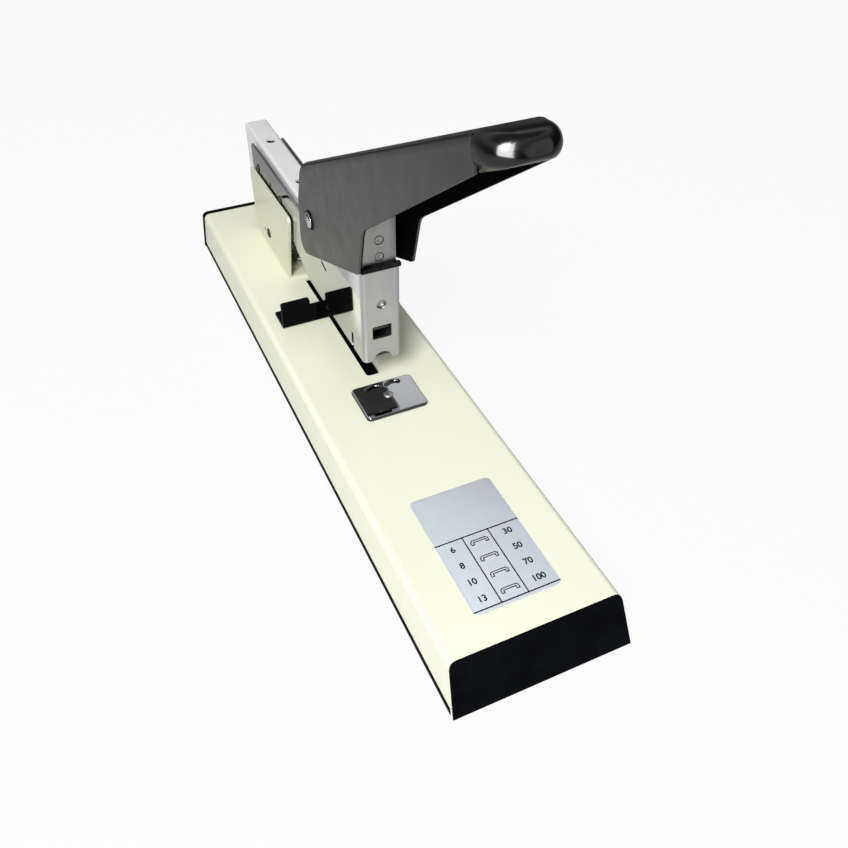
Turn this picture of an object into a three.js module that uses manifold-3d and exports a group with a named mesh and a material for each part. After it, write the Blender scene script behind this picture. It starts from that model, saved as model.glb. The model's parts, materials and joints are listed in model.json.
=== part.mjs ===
// Heavy duty stapler: a long base channel, a frame that swings on a rear bracket, and a lever that drives
// the staple through the head. Millimetres, +Z up, the front end towards -Y, origin on the desk under
// the middle of the base.
import * as THREE from 'three';
import { mergeVertices } from 'three/addons/utils/BufferGeometryUtils.js';
import Module from 'manifold-3d';

const wasm = await Module();
wasm.setup();

// Clearances and drawing steps
const running_gap = 0.15;        // between pieces that slide or turn on each other
const turned_gap = 0.3;          // between pieces that rest on each other in the raised lever
const seat_gap = 0.05;           // round a pin in a hole that holds it
const overrun = 5;               // how far a cutting tool reaches past the face it cuts
const arc_step = Math.PI / 8;    // angle of one facet on a rounded corner
const round_facets = 20;
const rivet_facets = 12;
const curl_steps = 8;
const wire_sides = 5;

// Base channel
const base_length = 290;
const base_width = 60.5;         // across the top face
const base_flare = 1.9;          // each side wall leans out this much, from the top face to the desk
const base_height = 19.3;        // top face above the desk
const front_slope = 8.1;         // the foot of the front face is this far ahead of its top edge
const base_sheet = 1.2;
const base_bend = 2.6;
const slot_width = 5.6;
const slot_front_y = -7.2;
const slot_rear_y = 68;

// End caps, tray, feet and their screws
const cap_flange = 2.2;
const cap_rim = 0.5;             // the rear cap's rim stands this proud of the painted channel
const cap_plug_depth = 12;
const cap_plug_wall = 2;
const cap_plug_gap = 0.3;
const tray_thickness = 1.6;
const tray_inset = 0.3;
const tray_rib_width = 1.6;
const tray_rib_height = 4;
const tray_rib_count = 5;        // cross ribs along the tray
const tray_rib_spread = 34;      // between the two long ribs
const foot_height = 1.4;
const foot_radius = 6.5;
const foot_chamfer = 0.4;
const foot_spread_x = 43;
const foot_spread_y = 252;
const screw_radius = 1.5;
const screw_head_radius = 2.8;
const screw_head_height = 0.8;
const screw_length = 8;
const screw_spread = 36;
const screw_boss_radius = 3.4;

// Anvil
const anvil_width = 25.2;
const anvil_depth = 19;
const anvil_thickness = 1.3;
const anvil_corner = 1.8;
const anvil_lead = 2.3;          // from the staple line to the anvil's rear edge
const groove_length = 7.2;
const groove_width = 2.6;
const groove_depth = 0.7;
const groove_land = 0.9;         // plain strip between the two grooves
const groove_bow = 0.8;
const anvil_rivet_radius = 1.9;
const anvil_rivet_dome = 0.7;
const anvil_rivet_shank = 1.3;
const anvil_rivet_forward = 6.2; // ahead of the staple line
const backing_width = 28;
const backing_depth = 23;
const backing_thickness = 3;

// Rear bracket and hinge
const hinge_y = 97;
const hinge_rise = 9.7;          // above the base's top face
const hinge_radius = 2.2;
const hinge_proud = 0.5;
const hinge_head_radius = 3.4;
const hinge_head_height = 1.1;
const hinge_bush_wall = 1.1;
const bracket_sheet = 1.4;
const bracket_bend = 2;
const bracket_gap = 0.6;         // between an ear and the frame's side plate
const bracket_front_y = 71;
const bracket_rear_y = 118.5;
const ear_height = 33.6;         // of its rear corner, above the base's top face
const ear_front_lift = 1.8;      // its front corner is this much higher
const ear_lean = 9.2;            // its front corner is this far ahead of its foot
const ear_corner = 2;
const ear_hole_radius = 0.9;
const ear_hole_back = 6.4;       // behind the hinge
const ear_hole_drop = 1;
const bracket_rivet_radius = 1.3;
const bracket_rivet_head = 2.1;
const bracket_rivet_dome = 0.8;
const bracket_rivet_spread = 9;
const bracket_rivet_inset = 8;

// Depth stop
const stop_y = 35.2;             // its front face, at rest
const stop_width = 47.4;
const stop_sheet = 1.4;
const stop_bend = 1.6;
const stop_foot = 11.6;
const stop_height = 12.6;
const stop_step_height = 8.9;
const stop_step_width = 2.6;
const stop_gap = 1;              // between the inner edge of an arm and the frame's side plate
const stop_corner = 1;
const stop_lift = 0.2;
const shoe_length = 9;
const shoe_gap = 0.3;
const shoe_flange_width = 11;
const shoe_flange_thickness = 1.6;
const stop_screw_radius = 1.4;
const stop_screw_head = 2.6;
const stop_screw_head_height = 1.2;

// Frame: a folded sheet with a front plate and two side plates
const throat_height = 15.6;      // head above the base's top face
const frame_width = 15.2;
const frame_sheet = 0.9;
const frame_bend = 1.8;
const head_face_y = -17.3;
const head_height = 40.1;
const shoulder_y = 20;           // the head's top edge runs level back to here
const arm_top = 29.3;            // top edge of the rear arm, above the head's foot
const arm_bottom = 15.1;
const arm_front_y = 48;
const sweep_start_y = 45.5;      // the lower edge starts to sweep up here
const sweep_mid_y = 54.5;
const sweep_mid_rise = 3.8;
const sweep_end_y = 66.5;
const sweep_end_rise = 9.6;
const sweep_corner = 6;
const lobe_front_y = 76;
const lobe_rear_y = 112;
const lobe_radius = 6.6;         // round the hinge pin
const arm_rear_y = 118.5;
const lug_radius = 9;            // round the lever's pivot
const bridge_y = 84;             // the lift spring pushes up here
const bridge_length = 10;
const bridge_rise = 13.7;        // above the base's top face
const peep_radius = 2;
const peep_rise = 25.3;
const window_width = 7.6;
const window_height = 5.7;
const window_rise = 13;          // its middle, above the head's foot
const window_corner = 0.6;
const notch_radius = 3.9;
const notch_drop = 0.3;          // the notch's centre lies this far under the head's foot
const hook_y = -5.8;
const hook_width = 2;
const hook_height = 7.2;
const slit_y = 23.5;
const slit_rise = 19.2;
const slit_length = 6;
const slit_width = 1.5;
const slit_tilt = Math.PI / 12;
const arm_slot_y = 91.5;
const arm_slot_rise = 19.2;
const arm_slot_width = 1.8;
const arm_slot_height = 6;

// Magazine rail, top channel and their rivets
const rail_width = 11.2;
const rail_wall = 1;
const rail_top = 13.5;           // above the head's foot
const rail_floor = 1.2;
const rail_rear_y = 46;
const rail_front_gap = 0.6;
const channel_width = 10.7;
const channel_sheet = 1;
const channel_bend = 1.5;
const channel_top = 31.6;        // above the head's foot
const channel_leg = 14.4;
const channel_front_y = 44;
const channel_rear_y = 134.4;
const channel_tail_leg = 22.5;
const channel_tail_y = 119.2;
const channel_hole_radius = 2.2;
const channel_hole_ys = [111.5, 70];
const cross_rivet_radius = 1.2;
const cross_rivet_head = 1.6;
const cross_rivet_proud = 0.35;
const cross_rivet_rise = 20.6;   // above the head's foot
const cross_rivet_ys = [78.2, 110];

// Spring seat, guide rod and bumper in the head
const seat_rise = 17.1;          // underside, above the head's foot
const seat_sheet = 1.2;
const seat_front_gap = 1.4;      // behind the blade
const seat_rear_y = 2.2;
const seat_back_height = 12;
const rod_rise = 25.6;
const rod_radius = 1.5;
const rod_proud = 2.8;
const rod_nut_radius = 3.1;
const rod_nut_length = 2.2;
const bumper_height = 1.8;
const bumper_depth = 1.8;
const bumper_forward = 0.9;

// Staple pusher
const pusher_length = 25.2;
const pusher_wall = 0.5;
const pusher_rail_gap = 0.3;
const pusher_skirt = 12.5;
const pusher_roof = 1.6;
const pusher_front_gap = 0.6;    // behind the blade
const pusher_neck_width = 5.6;
const pusher_boss_length = 8;
const pusher_boss_radius = 3.8;

// Lever, drawn level and then raised about its pivot
const pivot_y = 26.7;
const pivot_rise = 38.6;         // above the head's foot
const lever_raise = 27.4 * Math.PI / 180;
const lever_width = 21.2;
const lever_sheet = 1.3;
const lever_bend = 3.2;
const lever_top = 20.9;          // web's upper face above the pivot
const lever_reach = 147.5;       // pivot to the end of the steel
const lever_end_depth = 9.4;
const web_rear = -3.1;           // rear end of the web, behind the pivot
const cheek_rear = 24.3;
const cheek_rear_drop = 13;
const cheek_rear_bulge_y = 10.4;
const cheek_rear_bulge_rise = 8.4;
const cheek_front = 46.2;
const cheek_front_drop = 18;
const cheek_corner = 5;
const cheek_tip_corner = 1.2;
const throat_front = 59.8;       // where the cheek meets the lever's lower edge
const throat_drop = 3;
const throat_radius = 7;

// Grip: a moulded end that plugs into the channel
const grip_length = 10.3;
const grip_proud = 0.25;
const grip_plug_length = 16;
const grip_plug_gap = 0.3;
const grip_sections = 9;
const grip_plan_power = 2.6;     // exponent of the rounded end, seen from above
const grip_side_power = 5;       // and seen from the side

// Pivot screw, nut and washers
const pivot_radius = 2.5;
const pivot_head_radius = 3.4;
const pivot_head_height = 1.5;
const pivot_slot_width = 0.8;
const pivot_slot_depth = 0.7;
const pivot_nut_radius = 4.4;
const pivot_nut_height = 2.4;
const pivot_washer_radius = 5;

// Driver: yoke, blade, rivets and link pin
const blade_gap = 0.2;
const blade_thickness = 0.8;
const blade_width = 12.6;
const driver_stroke = 17.9;
const driver_top = 62.1;         // above the head's foot, at rest
const yoke_height = 21;
const yoke_width = 12.4;
const yoke_sheet = 1.2;
const yoke_bend = 1.6;
const yoke_depth = 15.8;
const link_back = -9.1;          // the link pin's place
const link_rise = 47.2;          // above the head's foot
const link_radius = 2;
const link_slot_length = 6.6;
const link_slot_forward = 0.4;   // the slot's middle is this far ahead of the pin at rest
const link_end_gap = 0.3;        // between the pin's ends and the frame's side plates
const tongue_width = 6;          // folded over the top of the yoke, above the spring
const ear_gap = 0.35;            // between the tongue and the lever's inner bracket
const link_ear_sheet = 1.2;
const link_ear_depth = 7.4;
const link_ear_bend = 1.8;
const link_slot_gap = 0.35;
const blade_rivet_radius = 1.7;
const blade_rivet_rises = [44.7, 51.3];

// Springs
const driver_wire = 0.5;
const driver_coil_radius = 2.3;
const driver_curls = 9;
const driver_spring_y = -2.9;
const pusher_wire = 0.4;
const pusher_coil_radius = 2.4;
const pusher_curls = 24;
const lift_wire = 0.6;
const lift_coil_radius = 2.8;
const lift_curls = 5;

// Levels and places that several pieces share
const tray_top = foot_height + tray_thickness;
const cover_underside = base_height - base_sheet;
const head_foot = base_height + throat_height;
const head_top = head_foot + head_height;
const hinge_z = base_height + hinge_rise;
const pivot_z = head_foot + pivot_rise;
const frame_inner = frame_width / 2 - frame_sheet;
const ear_inner = frame_width / 2 + bracket_gap;
const ear_outer = ear_inner + bracket_sheet;
const lever_inner = lever_width / 2 - lever_sheet;
const blade_front = head_face_y + frame_sheet + blade_gap;
const blade_rear = blade_front + blade_thickness;
const staple_line = (blade_front + blade_rear) / 2;
const anvil_y = staple_line + anvil_lead - anvil_depth / 2;
const anvil_rivet_y = staple_line - anvil_rivet_forward;
const shoe_y = stop_y + stop_foot / 2;
const rod_z = head_foot + rod_rise;
const seat_z = head_foot + seat_rise;
const seat_top = seat_z + seat_sheet;
const driver_top_z = head_foot + driver_top;

// Geometry helpers

function closedMesh(geometry) {
  const bare = geometry.clone();
  for (const name of Object.keys(bare.attributes)) if (name !== 'position') bare.deleteAttribute(name);
  const merged = mergeVertices(bare);
  const index = merged.index.array;
  const triangles = [];
  for (let i = 0; i < index.length; i += 3) {
    const [a, b, c] = [index[i], index[i + 1], index[i + 2]];
    if (a !== b && b !== c && c !== a) triangles.push(a, b, c);
  }
  return new wasm.Manifold(new wasm.Mesh({
    numProp: 3,
    vertProperties: new Float32Array(merged.attributes.position.array),
    triVerts: new Uint32Array(triangles),
  }));
}

function toGeometry(manifold) {
  const mesh = manifold.getMesh();
  const geometry = new THREE.BufferGeometry();
  geometry.setAttribute('position', new THREE.BufferAttribute(new Float32Array(mesh.vertProperties), 3));
  geometry.setIndex(new THREE.BufferAttribute(new Uint32Array(mesh.triVerts), 1));
  geometry.computeVertexNormals();
  return geometry;
}

const join = (...parts) => toGeometry(parts.map(closedMesh).reduce((all, part) => all.add(part)));
const cut = (body, ...tools) => toGeometry(tools.map(closedMesh).reduce((left, tool) => left.subtract(tool),
  closedMesh(body)));
const common = (a, b) => toGeometry(closedMesh(a).intersect(closedMesh(b)));

// A closed outline through corners [a, b, radius]; a radius is limited by the edges beside it
function rounded(corners) {
  const points = [];
  const count = corners.length;
  corners.forEach(([a, b, radius = 0], i) => {
    const corner = new THREE.Vector2(a, b);
    const [pa, pb] = corners[(i + count - 1) % count];
    const [na, nb] = corners[(i + 1) % count];
    const back = new THREE.Vector2(pa, pb).sub(corner);
    const ahead = new THREE.Vector2(na, nb).sub(corner);
    const room = Math.min(back.length(), ahead.length()) * 0.499;
    back.normalize();
    ahead.normalize();
    const half = Math.acos(THREE.MathUtils.clamp(back.dot(ahead), -1, 1)) / 2;
    const used = Math.min(radius, room * Math.tan(half));
    if (used <= 0 || half > Math.PI / 2 - 1e-4) {
      points.push(corner);
      return;
    }
    const centre = back.clone().add(ahead).normalize().multiplyScalar(used / Math.sin(half)).add(corner);
    const start = back.clone().multiplyScalar(used / Math.tan(half)).add(corner).sub(centre);
    const sweep = (Math.PI - 2 * half) * (back.cross(ahead) > 0 ? -1 : 1);
    const steps = Math.max(1, Math.ceil(Math.abs(sweep) / arc_step));
    for (let k = 0; k <= steps; k += 1) {
      points.push(start.clone().rotateAround(new THREE.Vector2(), sweep * k / steps).add(centre));
    }
  });
  return points;
}

// The outline of a sheet folded along a path of its outer face, with the sheet on the path's right
function folded(path, sheet, bend) {
  const line = path.map(([a, b]) => new THREE.Vector2(a, b));
  const normals = line.slice(1).map((p, i) => {
    const along = p.clone().sub(line[i]).normalize();
    return new THREE.Vector2(along.y, -along.x);
  });
  const inner = line.map((p, i) => {
    const before = normals[Math.max(i - 1, 0)];
    const after = normals[Math.min(i, normals.length - 1)];
    const middle = before.clone().add(after);
    return p.clone().add(middle.multiplyScalar(sheet * 2 / middle.lengthSq()));
  });
  const last = line.length - 1;
  const outer_corners = line.map((p, i) => [p.x, p.y, i > 0 && i < last ? bend : 0]);
  const inner_corners = inner.map((p, i) => [p.x, p.y, i > 0 && i < last ? Math.max(bend - sheet, 0) : 0]);
  return rounded([...outer_corners, ...inner_corners.reverse()]);
}

const circle = (a, b, radius, facets = round_facets) => Array.from({ length: facets }, (_, i) => {
  const angle = 2 * Math.PI * (i + 0.5) / facets;
  return new THREE.Vector2(a + radius * Math.cos(angle), b + radius * Math.sin(angle));
});

const rectangle = (a0, a1, b0, b1, radius = 0) =>
  rounded([[a0, b0, radius], [a1, b0, radius], [a1, b1, radius], [a0, b1, radius]]);

function prism(outline, depth, holes = []) {
  const shape = new THREE.Shape(outline);
  shape.holes = holes.map((hole) => new THREE.Path(hole));
  return new THREE.ExtrudeGeometry(shape, { depth, bevelEnabled: false, curveSegments: 1 });
}

// An outline drawn in (x, y), (y, z) or (x, z), given thickness along the third axis
const slabXY = (outline, z0, z1, holes) => prism(outline, z1 - z0, holes).translate(0, 0, z0);

function slabYZ(outline, x0, x1, holes) {
  const turn = new THREE.Matrix4().set(0, 0, 1, 0, 1, 0, 0, 0, 0, 1, 0, 0, 0, 0, 0, 1);
  return prism(outline, x1 - x0, holes).applyMatrix4(turn).translate(x0, 0, 0);
}

const slabXZ = (outline, y0, y1, holes) =>
  prism(outline, y1 - y0, holes).rotateX(Math.PI / 2).translate(0, y1, 0);

const block = (x0, x1, y0, y1, z0, z1) => slabXY(rectangle(x0, x1, y0, y1), z0, z1);

// A turned piece from a profile of [radius, height], with its axis along Z, X or Y
const turnedZ = (profile, x, y, z, facets = round_facets) => new THREE.LatheGeometry(
  profile.map(([r, h]) => new THREE.Vector2(r, h)), facets).rotateX(Math.PI / 2).translate(x, y, z);
const turnedX = (profile, x, y, z, facets = round_facets) => new THREE.LatheGeometry(
  profile.map(([r, h]) => new THREE.Vector2(r, h)), facets).rotateZ(-Math.PI / 2).translate(x, y, z);

// The profile of a low dome on a shank: the shank below zero, the dome above it
function domedProfile(head_radius, dome, shank_radius, shank_length) {
  const steps = 3;
  const profile = [[0, -shank_length], [shank_radius, -shank_length], [shank_radius, 0]];
  for (let k = 0; k <= steps; k += 1) {
    const angle = Math.PI / 2 * k / steps;
    profile.push([k === steps ? 0 : head_radius * Math.cos(angle), dome * Math.sin(angle)]);
  }
  return profile;
}

// A skin over rings of points, closed by a fan at each end
function loft(rings) {
  const count = rings[0].length;
  const positions = rings.flat().flatMap((p) => [p.x, p.y, p.z]);
  const index = [];
  for (let i = 0; i + 1 < rings.length; i += 1) {
    for (let j = 0; j < count; j += 1) {
      const [a, b] = [i * count + j, i * count + (j + 1) % count];
      index.push(a, b, b + count, a, b + count, a + count);
    }
  }
  for (const [ring, flip] of [[0, true], [rings.length - 1, false]]) {
    const centre = rings[ring].reduce((sum, p) => sum.add(p), new THREE.Vector3()).divideScalar(count);
    const middle = positions.length / 3;
    positions.push(centre.x, centre.y, centre.z);
    for (let j = 0; j < count; j += 1) {
      const [a, b] = [ring * count + j, ring * count + (j + 1) % count];
      if (flip) index.push(middle, b, a);
      else index.push(middle, a, b);
    }
  }
  const geometry = new THREE.BufferGeometry();
  geometry.setAttribute('position', new THREE.BufferAttribute(new Float32Array(positions), 3));
  geometry.setIndex(index);
  return toGeometry(closedMesh(geometry));
}

// A coil spring that stands on z = 0, one unbroken tube; prints its least gap to itself
function coil(name, radius, wire, curls, length) {
  const steps = curls * curl_steps;
  const rise = (length - 2 * wire) / steps;
  const rings = [];
  for (let i = 0; i <= steps; i += 1) {
    const turn = 2 * Math.PI * i / curl_steps;
    const out = new THREE.Vector3(Math.cos(turn), Math.sin(turn), 0);
    const along = new THREE.Vector3(-Math.sin(turn), Math.cos(turn), 0).multiplyScalar(radius * 2 * Math.PI
      / curl_steps).setZ(rise).normalize();
    const side = new THREE.Vector3().crossVectors(along, out);
    const centre = out.clone().multiplyScalar(radius).setZ(wire + rise * i);
    rings.push(Array.from({ length: wire_sides }, (_, j) => {
      const angle = 2 * Math.PI * j / wire_sides;
      return centre.clone().addScaledVector(out, wire * Math.cos(angle)).addScaledVector(side,
        wire * Math.sin(angle));
    }));
  }
  let least = Infinity;
  for (let i = 0; i + curl_steps < rings.length; i += 1) {
    for (const p of rings[i]) for (const q of rings[i + curl_steps]) least = Math.min(least, p.distanceTo(q));
  }
  console.log(`${name}: least gap between curls ${least.toFixed(2)} mm`);
  return loft(rings);
}

// Materials
const finish = (color, roughness, metalness) =>
  new THREE.MeshStandardMaterial({ color, roughness, metalness });
const cream_paint = finish(0xf0eecb, 0.35, 0);
const black_gloss = finish(0x111114, 0.25, 0);
const black_satin = finish(0x1a1a1c, 0.45, 0);
const black_rubber = finish(0x202022, 0.8, 0);
const polished_steel = finish(0xc9cbcf, 0.15, 1);
const satin_steel = finish(0xb3b3b0, 0.35, 1);
const dark_steel = finish(0x6d6e70, 0.4, 1);
const chrome = finish(0xdfe1e4, 0.08, 1);

const stapler = new THREE.Group();
const bodies = {};
for (const name of ['base', 'stop', 'frame', 'pusher', 'lever', 'driver']) {
  bodies[name] = new THREE.Group();
  stapler.add(bodies[name]);
}

function piece(body, name, geometry, material) {
  const mesh = new THREE.Mesh(geometry, material);
  mesh.name = name;
  bodies[body].add(mesh);
}

// Base channel
// Half the channel's outer width at a height above the desk
const half_width = (z) => base_width / 2 + base_flare * (1 - z / base_height);
// The front face at a height above the desk
const front_face = (z) => -base_length / 2 + front_slope * (z - foot_height) / (base_height - foot_height);
const cover_rear = base_length / 2 - cap_flange;
const flange_front = (z) => front_face(z) + cap_flange;

// Shears a piece drawn upright so that it leans like the front face
function leanForward(geometry) {
  const lean = front_slope / (base_height - foot_height);
  const shear = new THREE.Matrix4().set(1, 0, 0, 0, 0, 1, lean, -lean * foot_height, 0, 0, 1, 0, 0, 0, 0, 1);
  return geometry.applyMatrix4(shear);
}

const bracket_rivet_places = [bracket_front_y + bracket_rivet_inset, bracket_rear_y - bracket_rivet_inset]
  .flatMap((y) => [[-bracket_rivet_spread / 2, y], [bracket_rivet_spread / 2, y]]);

function baseCover() {
  const section = folded([[-half_width(0), 0], [-half_width(base_height), base_height],
    [half_width(base_height), base_height], [half_width(0), 0]], base_sheet, base_bend);
  const channel = slabXZ(section, -base_length / 2, cover_rear);
  const foot = block(-base_width, base_width, -base_length, base_length, -overrun, tray_top);
  const nose = leanForward(slabXZ(rectangle(-base_width, base_width, -overrun, base_height + overrun),
    -base_length, -base_length / 2 + cap_flange));
  const holes = [
    slabXY(rectangle(-slot_width / 2, slot_width / 2, slot_front_y, slot_rear_y, slot_width / 4),
      cover_underside - overrun, base_height + overrun),
    slabXY(circle(0, anvil_rivet_y, anvil_rivet_shank + seat_gap, rivet_facets), cover_underside - overrun,
      base_height + overrun),
    ...bracket_rivet_places.map(([x, y]) => slabXY(
      circle(x, y, bracket_rivet_radius + seat_gap, rivet_facets), cover_underside - overrun,
      base_height + overrun)),
  ];
  return cut(channel, foot, nose, ...holes);
}

// An end cap drawn with its flange's outer face at y = 0 and its plug towards +Y
function endCap(rim) {
  const outline = (foot, grow) => {
    const corners = [[-half_width(foot), foot], [half_width(foot), foot],
      [half_width(base_height), base_height, base_bend], [-half_width(base_height), base_height, base_bend]];
    const sides = [-1, 1, 1, -1];
    return rounded(corners.map(([x, z, r], i) => [x + grow * sides[i], i > 1 ? z + grow : z, r]));
  };
  const inset = base_sheet + cap_plug_gap;
  const plug_outline = (wall) => {
    const side = inset + wall;
    return rounded([[side - half_width(tray_top), tray_top + wall], [half_width(tray_top) - side,
      tray_top + wall], [half_width(base_height) - side, base_height - side, base_bend - base_sheet],
    [side - half_width(base_height), base_height - side, base_bend - base_sheet]]);
  };
  const flange = slabXZ(outline(foot_height, rim), 0, cap_flange);
  const plug = slabXZ(plug_outline(0), cap_flange - seat_gap, cap_flange + cap_plug_depth,
    [plug_outline(cap_plug_wall)]);
  const boss_y = cap_flange + cap_plug_depth / 2;
  const bosses = [-1, 1].map((side) => slabXY(circle(side * screw_spread / 2, boss_y, screw_boss_radius),
    tray_top, tray_top + screw_length));
  const ribs = [-1, 1].map((side) => block(side * screw_spread / 2 - cap_plug_wall / 2,
    side * screw_spread / 2 + cap_plug_wall / 2, cap_flange - seat_gap, boss_y, tray_top,
    cover_underside - cap_plug_gap));
  return join(flange, plug, ...bosses, ...ribs);
}

const screwHoles = (y) => [-1, 1].map((side) => slabXY(circle(side * screw_spread / 2, y,
  screw_radius + seat_gap), -overrun, tray_top + screw_length - cap_plug_wall));
const cap_boss_y = cap_flange + cap_plug_depth / 2;
const front_boss_y = -base_length / 2 + cap_boss_y
  + front_slope * tray_thickness / (base_height - foot_height);
const rear_boss_y = base_length / 2 - cap_boss_y;

const front_cap = leanForward(endCap(0).translate(0, -base_length / 2, 0));
const rear_cap = endCap(cap_rim).rotateZ(Math.PI).translate(0, base_length / 2, 0);

function bottomTray() {
  const outline = [[-half_width(tray_top), flange_front(tray_top)], [half_width(tray_top),
    flange_front(tray_top)], [half_width(tray_top), cover_rear], [-half_width(tray_top), cover_rear]];
  const middle = (flange_front(tray_top) + cover_rear) / 2;
  const plate = slabXY(rounded(outline.map(([x, y]) => [x - Math.sign(x) * tray_inset,
    y - Math.sign(y - middle) * seat_gap])), foot_height, tray_top);
  const rib_front = flange_front(tray_top) + cap_plug_depth + 2 * cap_plug_wall;
  const rib_rear = cover_rear - cap_plug_depth - 2 * cap_plug_wall;
  const long_ribs = [-1, 1].map((side) => block(side * tray_rib_spread / 2 - tray_rib_width / 2,
    side * tray_rib_spread / 2 + tray_rib_width / 2, rib_front, rib_rear, tray_top - seat_gap,
    tray_top + tray_rib_height));
  const cross_ribs = Array.from({ length: tray_rib_count }, (_, i) => {
    const y = rib_front + (rib_rear - rib_front) * (i + 0.5) / tray_rib_count;
    return block(-tray_rib_spread / 2, tray_rib_spread / 2, y - tray_rib_width / 2, y + tray_rib_width / 2,
      tray_top - seat_gap, tray_top + tray_rib_height);
  });
  const sinks = [front_boss_y, rear_boss_y].flatMap((y) => [-1, 1].map((side) => slabXY(
    circle(side * screw_spread / 2, y, screw_head_radius + seat_gap), -overrun,
    foot_height + screw_head_height + seat_gap)));
  return cut(join(plate, ...long_ribs, ...cross_ribs), ...screwHoles(front_boss_y),
    ...screwHoles(rear_boss_y), ...sinks);
}

// One numbered piece for each place
function pieces(body, name, places, make, material) {
  places.forEach((place, i) => piece(body, `${name}_${i + 1}`, make(place), material));
}

const foot_places = [-1, 1].flatMap((a) => [-1, 1]
  .map((b) => [a * foot_spread_x / 2, b * foot_spread_y / 2]));
const screw_places = [front_boss_y, rear_boss_y]
  .flatMap((y) => [[-screw_spread / 2, y], [screw_spread / 2, y]]);
const footProfile = [[0, 0], [foot_radius - foot_chamfer, 0], [foot_radius, foot_chamfer],
  [foot_radius, foot_height], [0, foot_height]];
const screwProfile = [[0, 0], [screw_head_radius, 0], [screw_head_radius, screw_head_height],
  [screw_radius, screw_head_height], [screw_radius, tray_thickness + screw_length - 2 * cap_plug_wall],
  [0, tray_thickness + screw_length - 2 * cap_plug_wall]];

piece('base', 'base_cover', baseCover(), cream_paint);
piece('base', 'front_end_cap', cut(front_cap, ...screwHoles(front_boss_y)), black_gloss);
piece('base', 'rear_end_cap', cut(rear_cap, ...screwHoles(rear_boss_y)), black_gloss);
piece('base', 'bottom_tray', bottomTray(), black_satin);
pieces('base', 'rubber_foot', foot_places, ([x, y]) => turnedZ(footProfile, x, y, 0), black_rubber);
pieces('base', 'tray_screw', screw_places, ([x, y]) => turnedZ(screwProfile, x, y, foot_height, rivet_facets),
  dark_steel);

// Anvil
const anvil_top = base_height + anvil_thickness;

// A kidney groove: round ends, bowed towards the rear
function kidney(side) {
  const near = groove_land / 2;
  const steps = 3;
  const edge = (offset) => Array.from({ length: steps + 1 }, (_, k) => [
    side * (near + groove_length * k / steps),
    staple_line + groove_bow * (Math.sin(Math.PI * k / steps) - 0.5) + offset,
    k === 0 || k === steps ? groove_width / 2 : 0]);
  return slabXY(rounded([...edge(-groove_width / 2), ...edge(groove_width / 2).reverse()]),
    anvil_top - groove_depth, anvil_top + overrun);
}

const anvil_plate = cut(
  slabXY(rectangle(-anvil_width / 2, anvil_width / 2, anvil_y - anvil_depth / 2, anvil_y + anvil_depth / 2,
    anvil_corner), base_height, anvil_top),
  kidney(-1), kidney(1),
  slabXY(circle(0, anvil_rivet_y, anvil_rivet_shank + seat_gap, rivet_facets), base_height - overrun,
    anvil_top + overrun));
const backing_rear = anvil_rivet_y + backing_depth / 2;
const anvil_backing = cut(
  block(-backing_width / 2, backing_width / 2, backing_rear - backing_depth, backing_rear,
    cover_underside - backing_thickness, cover_underside),
  slabXY(circle(0, anvil_rivet_y, anvil_rivet_shank + seat_gap, rivet_facets),
    cover_underside - backing_thickness - overrun, cover_underside + overrun));
const anvil_grip = anvil_thickness + base_sheet + backing_thickness;
const anvil_rivet = join(
  turnedZ(domedProfile(anvil_rivet_radius, anvil_rivet_dome, anvil_rivet_shank, anvil_grip), 0, anvil_rivet_y,
    anvil_top, rivet_facets),
  turnedZ(domedProfile(anvil_rivet_radius, anvil_rivet_dome, anvil_rivet_shank, seat_gap), 0, 0, 0,
    rivet_facets).rotateX(Math.PI).translate(0, anvil_rivet_y, anvil_top - anvil_grip));

piece('base', 'anvil_plate', anvil_plate, chrome);
piece('base', 'anvil_backing', anvil_backing, dark_steel);
piece('base', 'anvil_rivet', anvil_rivet, satin_steel);

// Rear bracket: a folded U whose ears carry the hinge pin
const web_top = base_height + bracket_sheet;

function rearBracket() {
  const ear_top = base_height + ear_height + ear_front_lift;
  const section = folded([[-ear_outer, ear_top], [-ear_outer, base_height], [ear_outer, base_height],
    [ear_outer, ear_top]].reverse(), bracket_sheet, bracket_bend);
  const side = rounded([[bracket_front_y, base_height], [bracket_rear_y, base_height],
    [bracket_rear_y, base_height + ear_height, ear_corner],
    [bracket_front_y - ear_lean, ear_top, ear_corner]]);
  const reach = ear_outer + overrun;
  const blank = common(slabXZ(section, bracket_front_y - ear_lean - overrun, bracket_rear_y + overrun),
    slabYZ(side, -reach, reach));
  return cut(blank,
    slabYZ(circle(hinge_y, hinge_z, hinge_radius + seat_gap), -reach, reach),
    slabYZ(circle(hinge_y + ear_hole_back, hinge_z - ear_hole_drop, ear_hole_radius, rivet_facets),
      -reach, reach),
    ...bracket_rivet_places.map(([x, y]) => slabXY(
      circle(x, y, bracket_rivet_radius + seat_gap, rivet_facets), base_height - overrun,
      web_top + overrun)));
}

const bracket_rivet = domedProfile(bracket_rivet_head, bracket_rivet_dome, bracket_rivet_radius,
  bracket_sheet + base_sheet);
const pin_left = -ear_outer - hinge_proud;
const pin_right = ear_outer;
const hinge_pin = turnedX([[0, 0], [hinge_radius, 0], [hinge_radius, pin_right - pin_left],
  [hinge_head_radius, pin_right - pin_left], [hinge_head_radius, pin_right - pin_left + hinge_head_height],
  [0, pin_right - pin_left + hinge_head_height]], pin_left, hinge_y, hinge_z);
const bridge_z = base_height + bridge_rise;
const lift_spring = coil('lift_spring', lift_coil_radius, lift_wire, lift_curls, bridge_z - web_top)
  .translate(0, bridge_y, web_top);

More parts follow.
